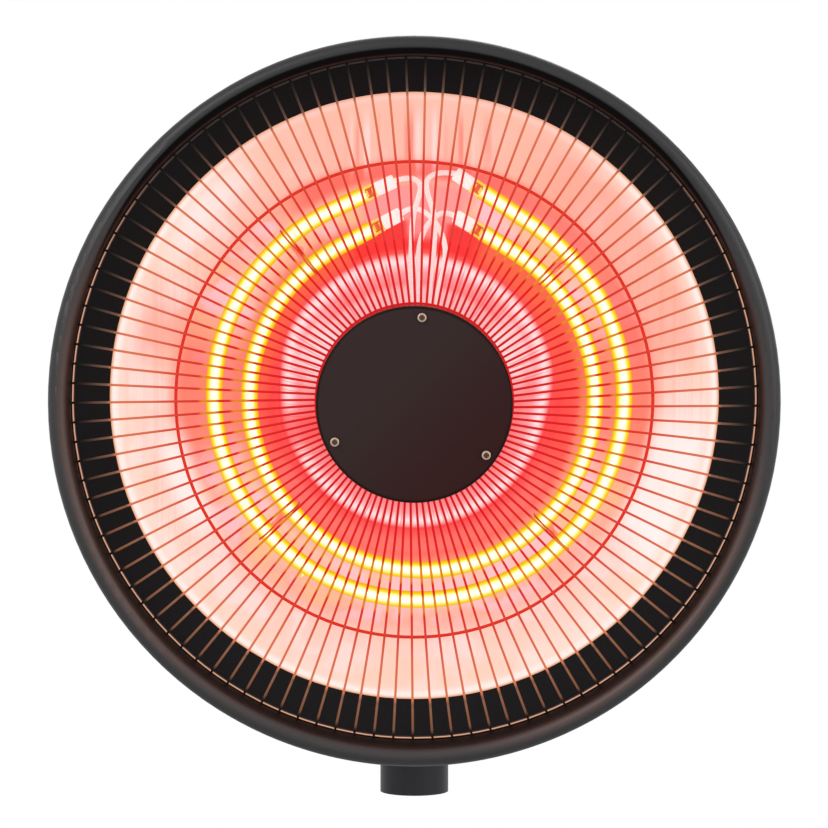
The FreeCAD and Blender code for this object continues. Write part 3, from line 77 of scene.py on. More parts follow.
rim_centre = on_head(0, 0, RIM_BACK)
print("the cover's face is at y =", round(COVER_FACE, 4), "and the middle of the rim at", rim_centre[:])

# %% [markdown]
# ## Camera
#
# The photograph was taken from far away, a little above the head's axis: the rim hides nothing of the
# lower wall inside the bowl. A long lens at three metres gives the same flat view. The lens follows from the
# width that the picture covers at the rim.

# %% Camera
VIEW_DISTANCE = 3.0
VIEW_RISE = math.radians(4.6)
PICTURE_WIDTH = 0.5083
SENSOR = 36.0
AIM_RIGHT = -0.0002
AIM_DOWN = 0.0067

way_back = Vector((0, -math.cos(VIEW_RISE), math.sin(VIEW_RISE)))
view_up = Vector((0, math.sin(VIEW_RISE), math.cos(VIEW_RISE)))
aim = rim_centre + Vector((AIM_RIGHT, 0, 0)) - view_up * AIM_DOWN
bpy.ops.object.camera_add(location=aim + way_back * VIEW_DISTANCE,
                          rotation=(math.pi / 2 - VIEW_RISE, 0, 0))
camera = bpy.context.object
camera.name = "photo_camera"
camera.data.sensor_width = SENSOR
camera.data.lens = SENSOR * VIEW_DISTANCE / PICTURE_WIDTH
camera.data.clip_end = 100
bpy.context.scene.camera = camera
print("lens", round(camera.data.lens, 1), "mm")

# %% [markdown]
# ## Studio
#
# The heater hangs in a white studio. Soft lamps stand around it, a pale floor lies far below, as under a
# heater on its pole, and the world is white wherever the camera or a reflection sees it.

# %% World and floor
scene = bpy.context.scene
scene.view_settings.view_transform = "Standard"


def seen_white(tree):
    """1 where a camera, glossy or transmission ray looks, and 0 for the light on the object."""
    path = tree.nodes.new("ShaderNodeLightPath")
    glossy = tree.nodes.new("ShaderNodeMath")
    glossy.operation = "MAXIMUM"
    clear = tree.nodes.new("ShaderNodeMath")
    clear.operation = "MAXIMUM"
    tree.links.new(path.outputs["Is Camera Ray"], glossy.inputs[0])
    tree.links.new(path.outputs["Is Glossy Ray"], glossy.inputs[1])
    tree.links.new(glossy.outputs[0], clear.inputs[0])
    tree.links.new(path.outputs["Is Transmission Ray"], clear.inputs[1])
    return clear.outputs[0]


world = bpy.data.worlds.new("white_studio")
world.use_nodes = True
scene.world = world
sky = world.node_tree
sky.nodes["Background"].inputs["Color"].default_value = (1, 1, 1, 1)
sky.nodes["Background"].inputs["Strength"].default_value = 0.35
bright = sky.nodes.new("ShaderNodeBackground")
bright.inputs["Color"].default_value = (1, 1, 1, 1)
bright.inputs["Strength"].default_value = 1.0
choice = sky.nodes.new("ShaderNodeMixShader")
sky.links.new(seen_white(sky), choice.inputs[0])
sky.links.new(sky.nodes["Background"].outputs[0], choice.inputs[1])
sky.links.new(bright.outputs[0], choice.inputs[2])
sky.links.new(choice.outputs[0], sky.nodes["World Output"].inputs["Surface"])

FLOOR_LEVEL = -0.6
FADE_START = 0.9
FADE_END = 3.0
bpy.ops.object.select_all(action="DESELECT")
bpy.ops.mesh.primitive_circle_add(vertices=64, radius=12, fill_type="NGON", location=(0, 0, FLOOR_LEVEL))
floor = bpy.context.object
floor.name = "studio_floor"
bpy.ops.object.transform_apply(location=True, rotation=True, scale=True)
pale = bpy.data.materials.new("pale_floor")
pale.use_nodes = True
tree = pale.node_tree
tree.nodes["Principled BSDF"].inputs["Base Color"].default_value = (0.86, 0.86, 0.86, 1)
tree.nodes["Principled BSDF"].inputs["Roughness"].default_value = 0.8
glow = tree.nodes.new("ShaderNodeEmission")
spot = tree.nodes.new("ShaderNodeTexCoord")
far = tree.nodes.new("ShaderNodeVectorMath")
far.operation = "LENGTH"
fade = tree.nodes.new("ShaderNodeMapRange")
fade.inputs["From Min"].default_value = FADE_START
fade.inputs["From Max"].default_value = FADE_END
both = tree.nodes.new("ShaderNodeMath")
both.operation = "MULTIPLY"
blend = tree.nodes.new("ShaderNodeMixShader")
tree.links.new(spot.outputs["Object"], far.inputs[0])
tree.links.new(far.outputs["Value"], fade.inputs["Value"])
tree.links.new(fade.outputs["Result"], both.inputs[0])
tree.links.new(seen_white(tree), both.inputs[1])
tree.links.new(both.outputs[0], blend.inputs[0])
tree.links.new(tree.nodes["Principled BSDF"].outputs[0], blend.inputs[1])
tree.links.new(glow.outputs[0], blend.inputs[2])
tree.links.new(blend.outputs[0], tree.nodes["Material Output"].inputs["Surface"])
floor.data.materials.append(pale)
print("floor at", FLOOR_LEVEL, "m")

# %% Soft lamps
def soft_lamp(name, place, size, power):
    """An area lamp that faces the head."""
    bpy.ops.object.light_add(type="AREA", location=place)
    lamp = bpy.context.object
    lamp.name = name
    lamp.data.size = size
    lamp.data.energy = power
    lamp.rotation_euler = (rim_centre - Vector(place)).to_track_quat("-Z", "Y").to_euler()
    print(name, "of", power, "W")


soft_lamp("key_lamp", (-1.6, -2.2, 1.8), 1.4, 26)
soft_lamp("fill_lamp", (1.9, -1.8, 0.9), 1.6, 14)
soft_lamp("back_lamp", (0.4, 2.2, 1.9), 1.6, 22)

# %% [markdown]
# ## Finishes
#
# A finish is a small tree of nodes. The helpers below keep the trees short: one starts a material, one
# adds a node with its settings, and one measures how far a point lies from the head's axis, because
# most of what glows here changes with that distance.

# %% Helpers for finishes
def linear(red, green, blue):
    """A colour as seen on a screen, from 0 to 255, as the linear colour that shaders use."""
    values = [value / 255 for value in (red, green, blue)]
    return tuple(v / 12.92 if v <= 0.04045 else ((v + 0.055) / 1.055) ** 2.4 for v in values) + (1.0,)


def new_finish(name):
    """A new material, its tree and its main shader."""
    material = bpy.data.materials.new(name)
    material.use_nodes = True
    return material, material.node_tree, material.node_tree.nodes["Principled BSDF"]


def add_node(tree, kind, **settings):
    """Adds a node and sets its inputs, or its properties where it has no input of that name."""
    node = tree.nodes.new(f"ShaderNode{kind}")
    for name, value in settings.items():
        label = name.replace("_", " ").title()
        if label in node.inputs:
            node.inputs[label].default_value = value
        else:
            setattr(node, name, value)
    return node


def add_math(tree, operation, first, second=None):
    """A math node whose inputs are sockets or numbers."""
    node = add_node(tree, "Math", operation=operation)
    for socket, value in zip(node.inputs, (first, second)):
        if isinstance(value, (int, float)):
            socket.default_value = value
        elif value is not None:
            tree.links.new(value, socket)
    return node.outputs[0]


def add_step(tree, value, low, high):
    """A smooth step: 0 below low and 1 above high, or the other way round where low is the larger."""
    node = add_node(tree, "MapRange", interpolation_type="SMOOTHSTEP", from_min=low, from_max=high)
    tree.links.new(value, node.inputs["Value"])
    return node.outputs["Result"]


def add_ramp(tree, source, stops):
    """A colour ramp fed by a socket: stops are positions from 0 to 1, with colours."""
    ramp = tree.nodes.new("ShaderNodeValToRGB")
    while len(ramp.color_ramp.elements) < len(stops):
        ramp.color_ramp.elements.new(0.5)
    for element, (place, colour) in zip(ramp.color_ramp.elements, stops):
        element.position = place
        element.color = colour
    tree.links.new(source, ramp.inputs["Fac"])
    return ramp.outputs["Color"]


def add_tint(tree, base, mask, colour):
    """Mixes one colour over another where a mask is high."""
    node = add_node(tree, "Mix", data_type="RGBA")
    tree.links.new(mask, node.inputs[0])
    tree.links.new(base, node.inputs[6])
    node.inputs[7].default_value = colour
    return node.outputs[2]


def add_window(tree, value, low, high, soft):
    """1 between two values and 0 outside them, with soft edges."""
    rise = add_step(tree, value, low - soft, low + soft)
    fall = add_step(tree, value, high + soft, high - soft)
    return add_math(tree, "MULTIPLY", rise, fall)


# %% Helpers for places on the head
RIM_RADIUS = 225


def head_place(tree):
    """A point's distance from the axis as a share of the rim's, and how far its way goes right and up."""
    spot = tree.nodes.new("ShaderNodeTexCoord")
    centre = add_node(tree, "Mapping", location=(0, 0, -AXIS_HEIGHT))
    flat = add_node(tree, "VectorMath", operation="MULTIPLY")
    flat.inputs[1].default_value = (1 / (RIM_RADIUS * MM), 0, 1 / (RIM_RADIUS * MM))
    far = add_node(tree, "VectorMath", operation="LENGTH")
    way = add_node(tree, "VectorMath", operation="NORMALIZE")
    parts = tree.nodes.new("ShaderNodeSeparateXYZ")
    tree.links.new(spot.outputs["Object"], centre.inputs["Vector"])
    tree.links.new(centre.outputs["Vector"], flat.inputs[0])
    tree.links.new(flat.outputs["Vector"], far.inputs[0])
    tree.links.new(flat.outputs["Vector"], way.inputs[0])
    tree.links.new(way.outputs["Vector"], parts.inputs["Vector"])
    return far.outputs["Value"], parts.outputs["X"], parts.outputs["Z"]


def head_depth(tree):
    """How far a point lies behind the face of the cover, in millimetres."""
    spot = tree.nodes.new("ShaderNodeTexCoord")
    parts = tree.nodes.new("ShaderNodeSeparateXYZ")
    tree.links.new(spot.outputs["Object"], parts.inputs["Vector"])
    return add_math(tree, "MULTIPLY", add_math(tree, "SUBTRACT", parts.outputs["Y"], COVER_FACE), 1 / MM)


def nearest_of(tree, places):
    """The distance from a point to the nearest of some places, in millimetres."""
    spot = tree.nodes.new("ShaderNodeTexCoord")
    nearest = None
    for place in places:
        gap = add_node(tree, "VectorMath", operation="DISTANCE")
        gap.inputs[1].default_value = place
        tree.links.new(spot.outputs["Object"], gap.inputs[0])
        value = gap.outputs["Value"]
        nearest = value if nearest is None else add_math(tree, "MINIMUM", nearest, value)
    return add_math(tree, "MULTIPLY", nearest, 1 / MM)


# %% Helpers for grained finishes
def add_grain(tree, shader, scale, height, detail=4.0):
    """A fine bump from noise on object coordinates."""
    noise = add_node(tree, "TexNoise", scale=scale, detail=detail)
    spot = tree.nodes.new("ShaderNodeTexCoord")
    tree.links.new(spot.outputs["Object"], noise.inputs["Vector"])
    bump = add_node(tree, "Bump", strength=height, distance=0.0004)
    tree.links.new(noise.outputs["Fac"], bump.inputs["Height"])
    tree.links.new(bump.outputs["Normal"], shader.inputs["Normal"])
    return noise.outputs["Fac"]


def grained_finish(name, dark, light, roughness, scale, height, metallic=0.0, specular=0.5, glow=0.0):
    """A finish whose colour and surface vary with a fine grain, and which may glow in that same colour."""
    material, tree, shader = new_finish(name)
    shader.inputs["Roughness"].default_value = roughness
    shader.inputs["Metallic"].default_value = metallic
    shader.inputs["Specular IOR Level"].default_value = specular
    grain = add_grain(tree, shader, scale, height)
    shade = add_ramp(tree, grain, [(0.3, linear(*dark)), (0.7, linear(*light))])
    tree.links.new(shade, shader.inputs["Base Color"])
    if glow:
        tree.links.new(shade, shader.inputs["Emission Color"])
        shader.inputs["Emission Strength"].default_value = glow
    return material


def dress(material, *names):
    """Gives a material to nodes of the solid model."""
    for name in names:
        for slot in nodes_by_name[name].material_slots:
            slot.link = "DATA"
            slot.material = material
    print(material.name, "on", ", ".join(names))


# %% [markdown]
# ## Plastic, rubber and steel
#
# The housing, the knob and the gland are moulded plastic with a visible grain, the switches are glossy, and
# the screws are zinc plated. Each of these finishes is the same recipe with other numbers, so one helper
# makes them all. The steel that holds the lamps is lit by them and shines salmon and red.

# %% Plastics and metals
coat = grained_finish("black_powder_coat", (38, 37, 39), (50, 49, 51), 0.42, 1400, 0.25, specular=0.45)
dress(coat, "tilt_bracket", "pole_knuckle")
pole_coat = grained_finish("pole_powder_coat", (40, 40, 44), (50, 50, 54), 0.45, 1600, 0.25, specular=0.25)
dress(pole_coat, "pole_tube", "pole_lock_boss")
band = grained_finish("baffle_black", (12, 12, 15), (20, 20, 24), 0.7, 900, 0.2, specular=0.2)
dress(band, "baffle_ring", "guard_hub_plate")
plastic = grained_finish("housing_plastic", (32, 32, 34), (44, 44, 46), 0.55, 1200, 0.45)
dress(plastic, "rear_housing", "knob_body", "tip_over_switch", "gland_body", "gland_cap", "gland_locknut")
gloss = grained_finish("switch_gloss", (20, 20, 22), (28, 28, 30), 0.18, 600, 0.04)
dress(gloss, "switch_frame_left", "switch_frame_right", "rocker_left", "rocker_right")
rubber = grained_finish("soft_rubber", (26, 26, 26), (36, 36, 35), 0.85, 800, 0.3, specular=0.2)
dress(rubber, "lead_grommet", "gland_seal")
fibre = grained_finish("pressed_fibre", (126, 86, 56), (160, 116, 80), 0.9, 500, 0.6, specular=0.2)
dress(fibre, "friction_washers")
steel = grained_finish("zinc_steel", (170, 168, 166), (204, 202, 198), 0.3, 2200, 0.2, metallic=1.0)
dress(steel, "cover_nuts", "hub_standoffs", "hub_screws", "reflector_posts", "shield_spacers", "post_screws",
      "housing_screws", "bracket_bolts", "bracket_nuts", "knuckle_screws", "pivot_bolt", "pivot_washers",
      "pole_lock_screw", "terminal_screws")
tinted = grained_finish("heat_tinted_steel", (150, 112, 84), (196, 158, 126), 0.38, 900, 0.3, metallic=1.0)
dress(tinted, "heat_shield", "thermal_cutout")
lit_steel = grained_finish("lamp_lit_steel", (226, 108, 94), (250, 150, 132), 0.5, 900, 0.3, glow=0.55)
dress(lit_steel, "tube_brackets", "bracket_rivets")
red_steel = grained_finish("red_lit_steel", (176, 54, 38), (206, 84, 54), 0.5, 900, 0.3, glow=0.5)
dress(red_steel, "tube_clips")
brass = grained_finish("turned_brass", (190, 150, 72), (216, 178, 96), 0.28, 2600, 0.2, metallic=1.0)
dress(brass, "knob_insert")
print(len(bpy.data.materials), "materials so far")

# %% [markdown]
# ## Coat of the bowl
#
# The bowl is powder coated in satin black with a very fine orange peel. Its rolled lip catches some of the
# warm light on the side towards the lamps, least of all at the top, and the wall behind the lip lies in
# shadow. The distance from the axis and the depth tell the lip from the wall.

# %% Bowl finish
bowl, tree, shader = new_finish("bowl_coat")
shader.inputs["Roughness"].default_value = 0.42
grain = add_grain(tree, shader, 1400, 0.25)
shade = add_ramp(tree, grain, [(0.3, linear(38, 37, 39)), (0.7, linear(50, 49, 51))])
distance, sideways, upward = head_place(tree)
depth = head_depth(tree)
shadow = add_step(tree, upward, 0.30, 0.85)
on_roll = add_math(tree, "MULTIPLY", shadow, add_step(tree, depth, 28.0, 22.0))
inside = add_math(tree, "SUBTRACT", distance, add_math(tree, "MULTIPLY", on_roll, 0.018))
wall = add_math(tree, "MULTIPLY", add_step(tree, inside, 0.954, 0.947), add_step(tree, depth, 58.0, 56.0))
shade = add_tint(tree, shade, add_math(tree, "MULTIPLY", on_roll, 0.75), linear(22, 21, 23))
shade = add_tint(tree, shade, wall, linear(8, 7, 8))
tree.links.new(shade, shader.inputs["Base Color"])
sheen = add_math(tree, "SUBTRACT", 0.45, add_math(tree, "MULTIPLY", wall, 0.40))
tree.links.new(sheen, shader.inputs["Specular IOR Level"])
lip = add_math(tree, "MULTIPLY", add_window(tree, distance, 0.953, 0.973, 0.008),
               add_step(tree, depth, 26.0, 20.0))
lip = add_math(tree, "MULTIPLY", lip, add_step(tree, upward, 0.65, 0.0))
low_right = add_math(tree, "SUBTRACT", sideways, upward)
strong = add_math(tree, "MAXIMUM", add_step(tree, sideways, -0.35, -0.85),
                  add_step(tree, low_right, 1.10, 1.36))
lip = add_math(tree, "MULTIPLY", lip, add_math(tree, "ADD", add_math(tree, "MULTIPLY", strong, 0.75), 0.25))
warmth = add_ramp(tree, lip, [(0.0, (0, 0, 0, 1)), (1.0, linear(66, 34, 14))])
tree.links.new(warmth, shader.inputs["Emission Color"])
shader.inputs["Emission Strength"].default_value = 0.8
dress(bowl, "shroud")

# %% [markdown]
# ## Centre cover and its screws
#
# The cover is coated like the bowl, but the red light around it warms its black, most of all low on the
# right. Its side wall faces the lamps and shines red. The three screws have bright heads; the dark in their
# recesses and round each head is painted shade, so their colour follows the distance from each screw's
# middle.

# %% Cover and screws
cover, tree, shader = new_finish("cover_black")
shader.inputs["Roughness"].default_value = 0.5
shader.inputs["Specular IOR Level"].default_value = 0.12
grain = add_grain(tree, shader, 1700, 0.15)
shade = add_ramp(tree, grain, [(0.3, linear(52, 39, 38)), (0.7, linear(59, 45, 44))])
distance, sideways, upward = head_place(tree)
low_right = add_math(tree, "MULTIPLY", add_math(tree, "SUBTRACT", sideways, upward), distance)
shade = add_tint(tree, shade, add_step(tree, low_right, -0.2, 0.35), linear(53, 23, 23))
# Painted shade: a darker red band round the edge of the cover's face.
shade = add_tint(tree, shade, add_step(tree, distance, 0.257, 0.265), linear(30, 12, 13))
tree.links.new(shade, shader.inputs["Base Color"])
COVER_DEPTH = 22
depth = add_math(tree, "MULTIPLY", head_depth(tree), 1 / COVER_DEPTH)
side = add_ramp(tree, depth, [(0.06, (0, 0, 0, 1)), (0.14, linear(104, 20, 28)), (0.9, linear(196, 26, 28))])
tree.links.new(side, shader.inputs["Emission Color"])
shader.inputs["Emission Strength"].default_value = 0.85
dress(cover, "centre_cover")

SCREW_CIRCLE = 53.7
SCREW_ANGLES = (-85, 35, 155)
SCREW_FACE = -1.0
SCREW_REACH = 3.2
screw_places = []
for turn in map(math.radians, SCREW_ANGLES):
    screw_places.append(on_head(SCREW_CIRCLE * math.cos(turn), SCREW_CIRCLE * math.sin(turn), SCREW_FACE))
screw, tree, shader = new_finish("cover_screw_zinc")
shader.inputs["Metallic"].default_value = 0.6
shader.inputs["Roughness"].default_value = 0.4
off_middle = add_math(tree, "MULTIPLY", nearest_of(tree, screw_places), 1 / SCREW_REACH)
# Painted shade: dark in the recess at the middle and round the edge of each head.
shade = add_ramp(tree, off_middle, [
    (0.40, linear(96, 70, 58)), (0.62, linear(112, 86, 72)), (0.72, linear(206, 184, 160)),
    (0.86, linear(196, 172, 150)), (0.94, linear(104, 76, 66))])
tree.links.new(shade, shader.inputs["Base Color"])
add_grain(tree, shader, 2600, 0.2)
dress(screw, "cover_screws")

# %% [markdown]
# ## Guard wire
#
# The guard is black, but between the lamps and the viewer it shines with their light: deep red near the hub,
# orange over the lamps, salmon over the bright dish, and dark over the black band, where the upper wires get
# the least of it. That light is on the wire wherever one looks from, so it is painted by the distance from
# the axis. The outer ring catches it as a thin line.

# %% Guard finish
guard, tree, shader = new_finish("guard_wire")
shader.inputs["Roughness"].default_value = 0.45
shader.inputs["Specular IOR Level"].default_value = 0.15
distance, _, upward = head_place(tree)
shade = add_ramp(tree, distance, [
    (0.60, linear(70, 14, 12)), (0.86, linear(56, 42, 36)), (0.92, linear(24, 22, 22))])
RED, LAMP_ORANGE, SALMON = linear(226, 20, 24), linear(230, 140, 22), linear(222, 122, 82)
lit = add_ramp(tree, distance, [
    (0.27, linear(206, 10, 18)), (0.40, RED), (0.448, RED), (0.460, LAMP_ORANGE), (0.496, LAMP_ORANGE),
    (0.508, RED), (0.535, RED), (0.547, LAMP_ORANGE), (0.583, LAMP_ORANGE), (0.595, linear(222, 48, 38)),
    (0.66, linear(220, 64, 44)), (0.72, linear(220, 106, 76)), (0.832, SALMON), (0.848, linear(118, 84, 68)),
    (0.905, linear(50, 40, 35)), (0.935, linear(12, 10, 9))])
lamp_gap = add_math(tree, "MULTIPLY", add_window(tree, distance, 0.448, 0.600, 0.006),
                    add_step(tree, upward, 0.86, 0.92))
lit = add_tint(tree, lit, lamp_gap, linear(224, 54, 46))
over_band = add_window(tree, distance, 0.852, 0.925, 0.010)
# Over the black band, below and above: where the tint begins and is full, its colour, its strength.
BAND_TINTS = [(-0.10, -0.50, (168, 108, 76), 0.55), (0.10, 0.60, (30, 27, 26), 0.45)]
for begin, full, colour, strength in BAND_TINTS:
    mask = add_math(tree, "MULTIPLY", over_band, add_step(tree, upward, begin, full))
    lit = add_tint(tree, lit, add_math(tree, "MULTIPLY", mask, strength), linear(*colour))
tree.links.new(shade, shader.inputs["Base Color"])
tree.links.new(lit, shader.inputs["Emission Color"])
shader.inputs["Emission Strength"].default_value = 0.9
add_grain(tree, shader, 1800, 0.15)
dress(guard, "guard_wires")
# The middle and inner rings are black too: their red glow is painted lamp light.
ring_lamp_glow = grained_finish("guard_ring_lamp_glow", (172, 32, 22), (198, 44, 28), 0.45, 1800, 0.15,
                          specular=0.15, glow=0.8)
dress(ring_lamp_glow, "guard_middle_ring")
hub_lamp_glow = grained_finish("guard_hub_lamp_glow", (170, 14, 16), (192, 20, 22), 0.45, 1800, 0.15,
                         specular=0.1, glow=0.85)
dress(hub_lamp_glow, "guard_inner_ring")

# %% Outer ring of the guard
edge_lit, tree, shader = new_finish("guard_ring_edge_lit")
shader.inputs["Roughness"].default_value = 0.45
shader.inputs["Base Color"].default_value = linear(22, 20, 20)
_, sideways, upward = head_place(tree)
spot = tree.nodes.new("ShaderNodeTexCoord")
facing = tree.nodes.new("ShaderNodeSeparateXYZ")
tree.links.new(spot.outputs["Normal"], facing.inputs["Vector"])
outwards = add_math(tree, "ADD", add_math(tree, "MULTIPLY", facing.outputs["X"], sideways),
                    add_math(tree, "MULTIPLY", facing.outputs["Z"], upward))
lamp_side = add_math(tree, "MULTIPLY", add_window(tree, outwards, -0.35, 0.40, 0.15),
                     add_step(tree, upward, 0.75, 0.30))
shine = add_ramp(tree, lamp_side, [(0.0, linear(20, 17, 16)), (1.0, linear(232, 170, 138))])
tree.links.new(shine, shader.inputs["Emission Color"])
shader.inputs["Emission Strength"].default_value = 0.9
add_grain(tree, shader, 1800, 0.15)
dress(edge_lit, "guard_outer_ring")

# %% [markdown]
# ## Spun reflector
#
# The reflector is bright spun aluminium, and what it shows is the lamps: a pale ring near the hub, deep
# red beside it, salmon between the lamps and almost white towards the rim. It could mirror the lamps
# themselves, but that light is slow and noisy to work out, so the rings are painted. A ramp over the
# distance from the axis carries them, and masks vary it round the dish. The pale ring lies higher than the
# axis, so the ramp is pushed outwards in the upper half. The back stays dull.

# %% Rings of light
bright_metal, tree, shader = new_finish("spun_reflector")
shader.inputs["Metallic"].default_value = 1.0
shader.inputs["Roughness"].default_value = 0.32
# The metal's dark red colour is painted lamp light too; the aluminium itself is pale.
shader.inputs["Base Color"].default_value = (0.20, 0.05, 0.05, 1)
distance, sideways, upward = head_place(tree)
RING_LIFT = 0.022
leaning_up = add_math(tree, "ADD", upward, add_math(tree, "MULTIPLY", sideways, 0.12))
near_middle = add_math(tree, "MULTIPLY", add_step(tree, distance, 0.62, 0.45), RING_LIFT)
lift = add_math(tree, "MULTIPLY", add_step(tree, leaning_up, -0.12, 0.42), near_middle)
glow = add_ramp(tree, add_math(tree, "SUBTRACT", distance, lift), [
    (0.288, linear(253, 124, 128)), (0.322, linear(255, 160, 164)), (0.338, linear(255, 208, 212)),
    (0.350, linear(255, 238, 238)), (0.360, linear(255, 210, 212)), (0.374, linear(252, 74, 76)),
    (0.400, linear(252, 56, 58)), (0.450, linear(253, 92, 80)),
    (0.520, linear(255, 196, 172)), (0.640, linear(255, 176, 156)), (0.700, linear(255, 208, 196)),
    (0.818, linear(255, 222, 206)), (0.829, linear(255, 244, 238)), (0.836, linear(255, 240, 230)),
    (0.842, linear(244, 176, 136))])

# %% Streaks and patches
spot = tree.nodes.new("ShaderNodeTexCoord")


def tint_where(glow, colour, strength, *masks):
    """Tints the glow where all of some masks are high."""
    mask = masks[0]
    for other in masks[1:]:
        mask = add_math(tree, "MULTIPLY", mask, other)
    return add_tint(tree, glow, add_math(tree, "MULTIPLY", mask, strength), linear(*colour))


by_cover = add_window(tree, distance, 0.250, 0.310, 0.012)
glow = tint_where(glow, (255, 234, 236), 0.45, by_cover, add_step(tree, upward, -0.10, 0.25))
glow = tint_where(glow, (255, 240, 242), 0.65, add_window(tree, distance, 0.250, 0.342, 0.015),
                  add_window(tree, upward, 0.21, 0.66, 0.12))
angle = add_math(tree, "ARCTAN2", upward, sideways)
streaks = add_node(tree, "TexNoise", noise_dimensions="1D", detail=2.0, roughness=0.6)
tree.links.new(add_math(tree, "MULTIPLY", angle, 9.0), streaks.inputs["W"])
near_hub = add_window(tree, distance, 0.270, 0.375, 0.02)
glow = tint_where(glow, (252, 104, 106), 0.75, near_hub, add_step(tree, streaks.outputs["Fac"], 0.52, 0.72))
glow = tint_where(glow, (252, 80, 82), 0.85, near_hub, add_step(tree, sideways, -0.72, -0.90),
                  add_window(tree, upward, -0.42, -0.12, 0.12))
glow = tint_where(glow, (253, 104, 58), 0.7, add_window(tree, distance, 0.405, 0.460, 0.02),
                  add_step(tree, upward, -0.15, 0.30))
glow = tint_where(glow, (254, 132, 124), 0.5, add_window(tree, distance, 0.395, 0.450, 0.02),
                  add_step(tree, upward, -0.25, -0.60))
glow = tint_where(glow, (251, 64, 62), 0.6, add_window(tree, distance, 0.410, 0.455, 0.02),
                  add_step(tree, sideways, 0.80, 0.95))

patches = add_node(tree, "TexNoise", scale=38.0, detail=2.0)
tree.links.new(spot.outputs["Object"], patches.inputs["Vector"])
peach = add_step(tree, patches.outputs["Fac"], 0.50, 0.62)
lilac = add_step(tree, patches.outputs["Fac"], 0.50, 0.38)
by_lamps = add_window(tree, distance, 0.505, 0.650, 0.02)
glow = tint_where(glow, (250, 194, 140), 0.75, by_lamps, peach)
glow = tint_where(glow, (248, 200, 210), 0.75, by_lamps, lilac)
by_rim = add_window(tree, distance, 0.675, 0.815, 0.02)
glow = tint_where(glow, (254, 208, 182), 0.6, by_rim, peach)
glow = tint_where(glow, (255, 234, 230), 0.5, by_rim, lilac)

level = add_math(tree, "ABSOLUTE", upward)
glow = tint_where(glow, (254, 104, 92), 0.8, add_window(tree, distance, 0.47, 0.67, 0.03),
                  add_step(tree, level, 0.50, 0.12))
glow = tint_where(glow, (254, 184, 162), 0.7, add_step(tree, distance, 0.62, 0.70),
                  add_step(tree, upward, 0.60, 0.95))
# Near the top: from and to as shares of the rim's radius, softness, how near the top, colour, strength.
TOP_PATCHES = [
    (0.605, 0.652, 0.014, (0.80, 0.93), (246, 88, 80), 0.85),
    (0.490, 0.590, 0.014, (0.945, 0.975), (246, 150, 150), 0.90),
    (0.404, 0.486, 0.008, (0.88, 0.94), (251, 26, 34), 0.95),
]
for start, end, soft, (begin, full), colour, strength in TOP_PATCHES:
    glow = tint_where(glow, colour, strength, add_window(tree, distance, start, end, soft),
                      add_step(tree, upward, begin, full))
between_leads = add_math(tree, "MULTIPLY", add_window(tree, sideways, -0.04, 0.19, 0.03),
                         add_step(tree, upward, 0.5, 0.8))
glow = tint_where(glow, (250, 150, 150), 0.85, add_window(tree, distance, 0.440, 0.500, 0.020), between_leads)

parts = tree.nodes.new("ShaderNodeSeparateXYZ")
tree.links.new(spot.outputs["Object"], parts.inputs["Vector"])


def upright_streaks(per_metre, detail):
    """Noise that changes only sideways, for upright streaks in the painted reflection."""
    noise = add_node(tree, "TexNoise", noise_dimensions="1D", detail=detail)
    tree.links.new(add_math(tree, "MULTIPLY", parts.outputs["X"], per_metre), noise.inputs["W"])
    return noise.outputs["Fac"]


broad = upright_streaks(24.0, 1.5)
above_ends = add_math(tree, "MULTIPLY", add_window(tree, distance, 0.64, 0.78, 0.05),
                      add_step(tree, upward, 0.93, 0.98))
glow = tint_where(glow, (255, 226, 220), 0.85, above_ends, add_step(tree, broad, 0.52, 0.68))
glow = tint_where(glow, (248, 112, 102), 0.65, above_ends, add_step(tree, broad, 0.48, 0.34))
glow = tint_where(glow, (255, 186, 164), 0.45, add_window(tree, distance, 0.67, 0.80, 0.03),
                  add_step(tree, level, 0.75, 0.35), add_step(tree, upright_streaks(55.0, 2.0), 0.46, 0.66))

# Round the dish: from and to as shares of the rim's radius, softness, from and to upwards, how far
# to the side, colour, strength.
SIDE_PATCHES = [
    (0.592, 0.658, 0.020, (0.20, 0.96), (-0.66, -0.45), (250, 106, 98), 0.80),
    (0.660, 0.800, 0.030, (0.13, 0.90), (0.20, 0.60), (254, 154, 132), 0.55),
    (0.660, 0.790, 0.030, (0.14, 0.36), (-0.80, -0.94), (254, 146, 126), 0.55),
    (0.672, 0.810, 0.030, (-0.58, -0.10), (0.60, 0.85), (255, 253, 251), 0.75),
    (0.652, 0.725, 0.030, (-0.55, -0.16), (-0.60, -0.86), (255, 251, 248), 0.80),
    (0.745, 0.815, 0.025, (0.48, 0.80), (-0.45, -0.65), (255, 248, 244), 0.55),
]
for start, end, soft, (low, high), (begin, full), colour, strength in SIDE_PATCHES:
    glow = tint_where(glow, colour, strength, add_window(tree, distance, start, end, soft),
                      add_window(tree, upward, low, high, 0.10), add_step(tree, sideways, begin, full))
facing = tree.nodes.new("ShaderNodeSeparateXYZ")
tree.links.new(spot.outputs["Normal"], facing.inputs["Vector"])
glow = add_tint(tree, glow, add_step(tree, facing.outputs["Y"], 0.0, 0.15), linear(64, 34, 30))
tree.links.new(glow, shader.inputs["Emission Color"])
shader.inputs["Emission Strength"].default_value = 0.92

# %% Spinning marks
marks = add_node(tree, "TexNoise", noise_dimensions="1D", detail=6.0)
tree.links.new(add_math(tree, "MULTIPLY", distance, 260.0), marks.inputs["W"])
bump = add_node(tree, "Bump", strength=0.25, distance=0.0003)
tree.links.new(marks.outputs["Fac"], bump.inputs["Height"])
tree.links.new(bump.outputs["Normal"], shader.inputs["Normal"])
dress(bright_metal, "reflector")
print("reflector with", len(tree.nodes), "nodes")

# %% [markdown]
# ## Where the lamps lie
#
# The lamps are two rings, not quite around one middle, open at the top, with straight ends that lift off
# the ring. A place on a lamp is a turn from the top and a way along the straight end. The finishes and
# the new pieces below both ask for such places.

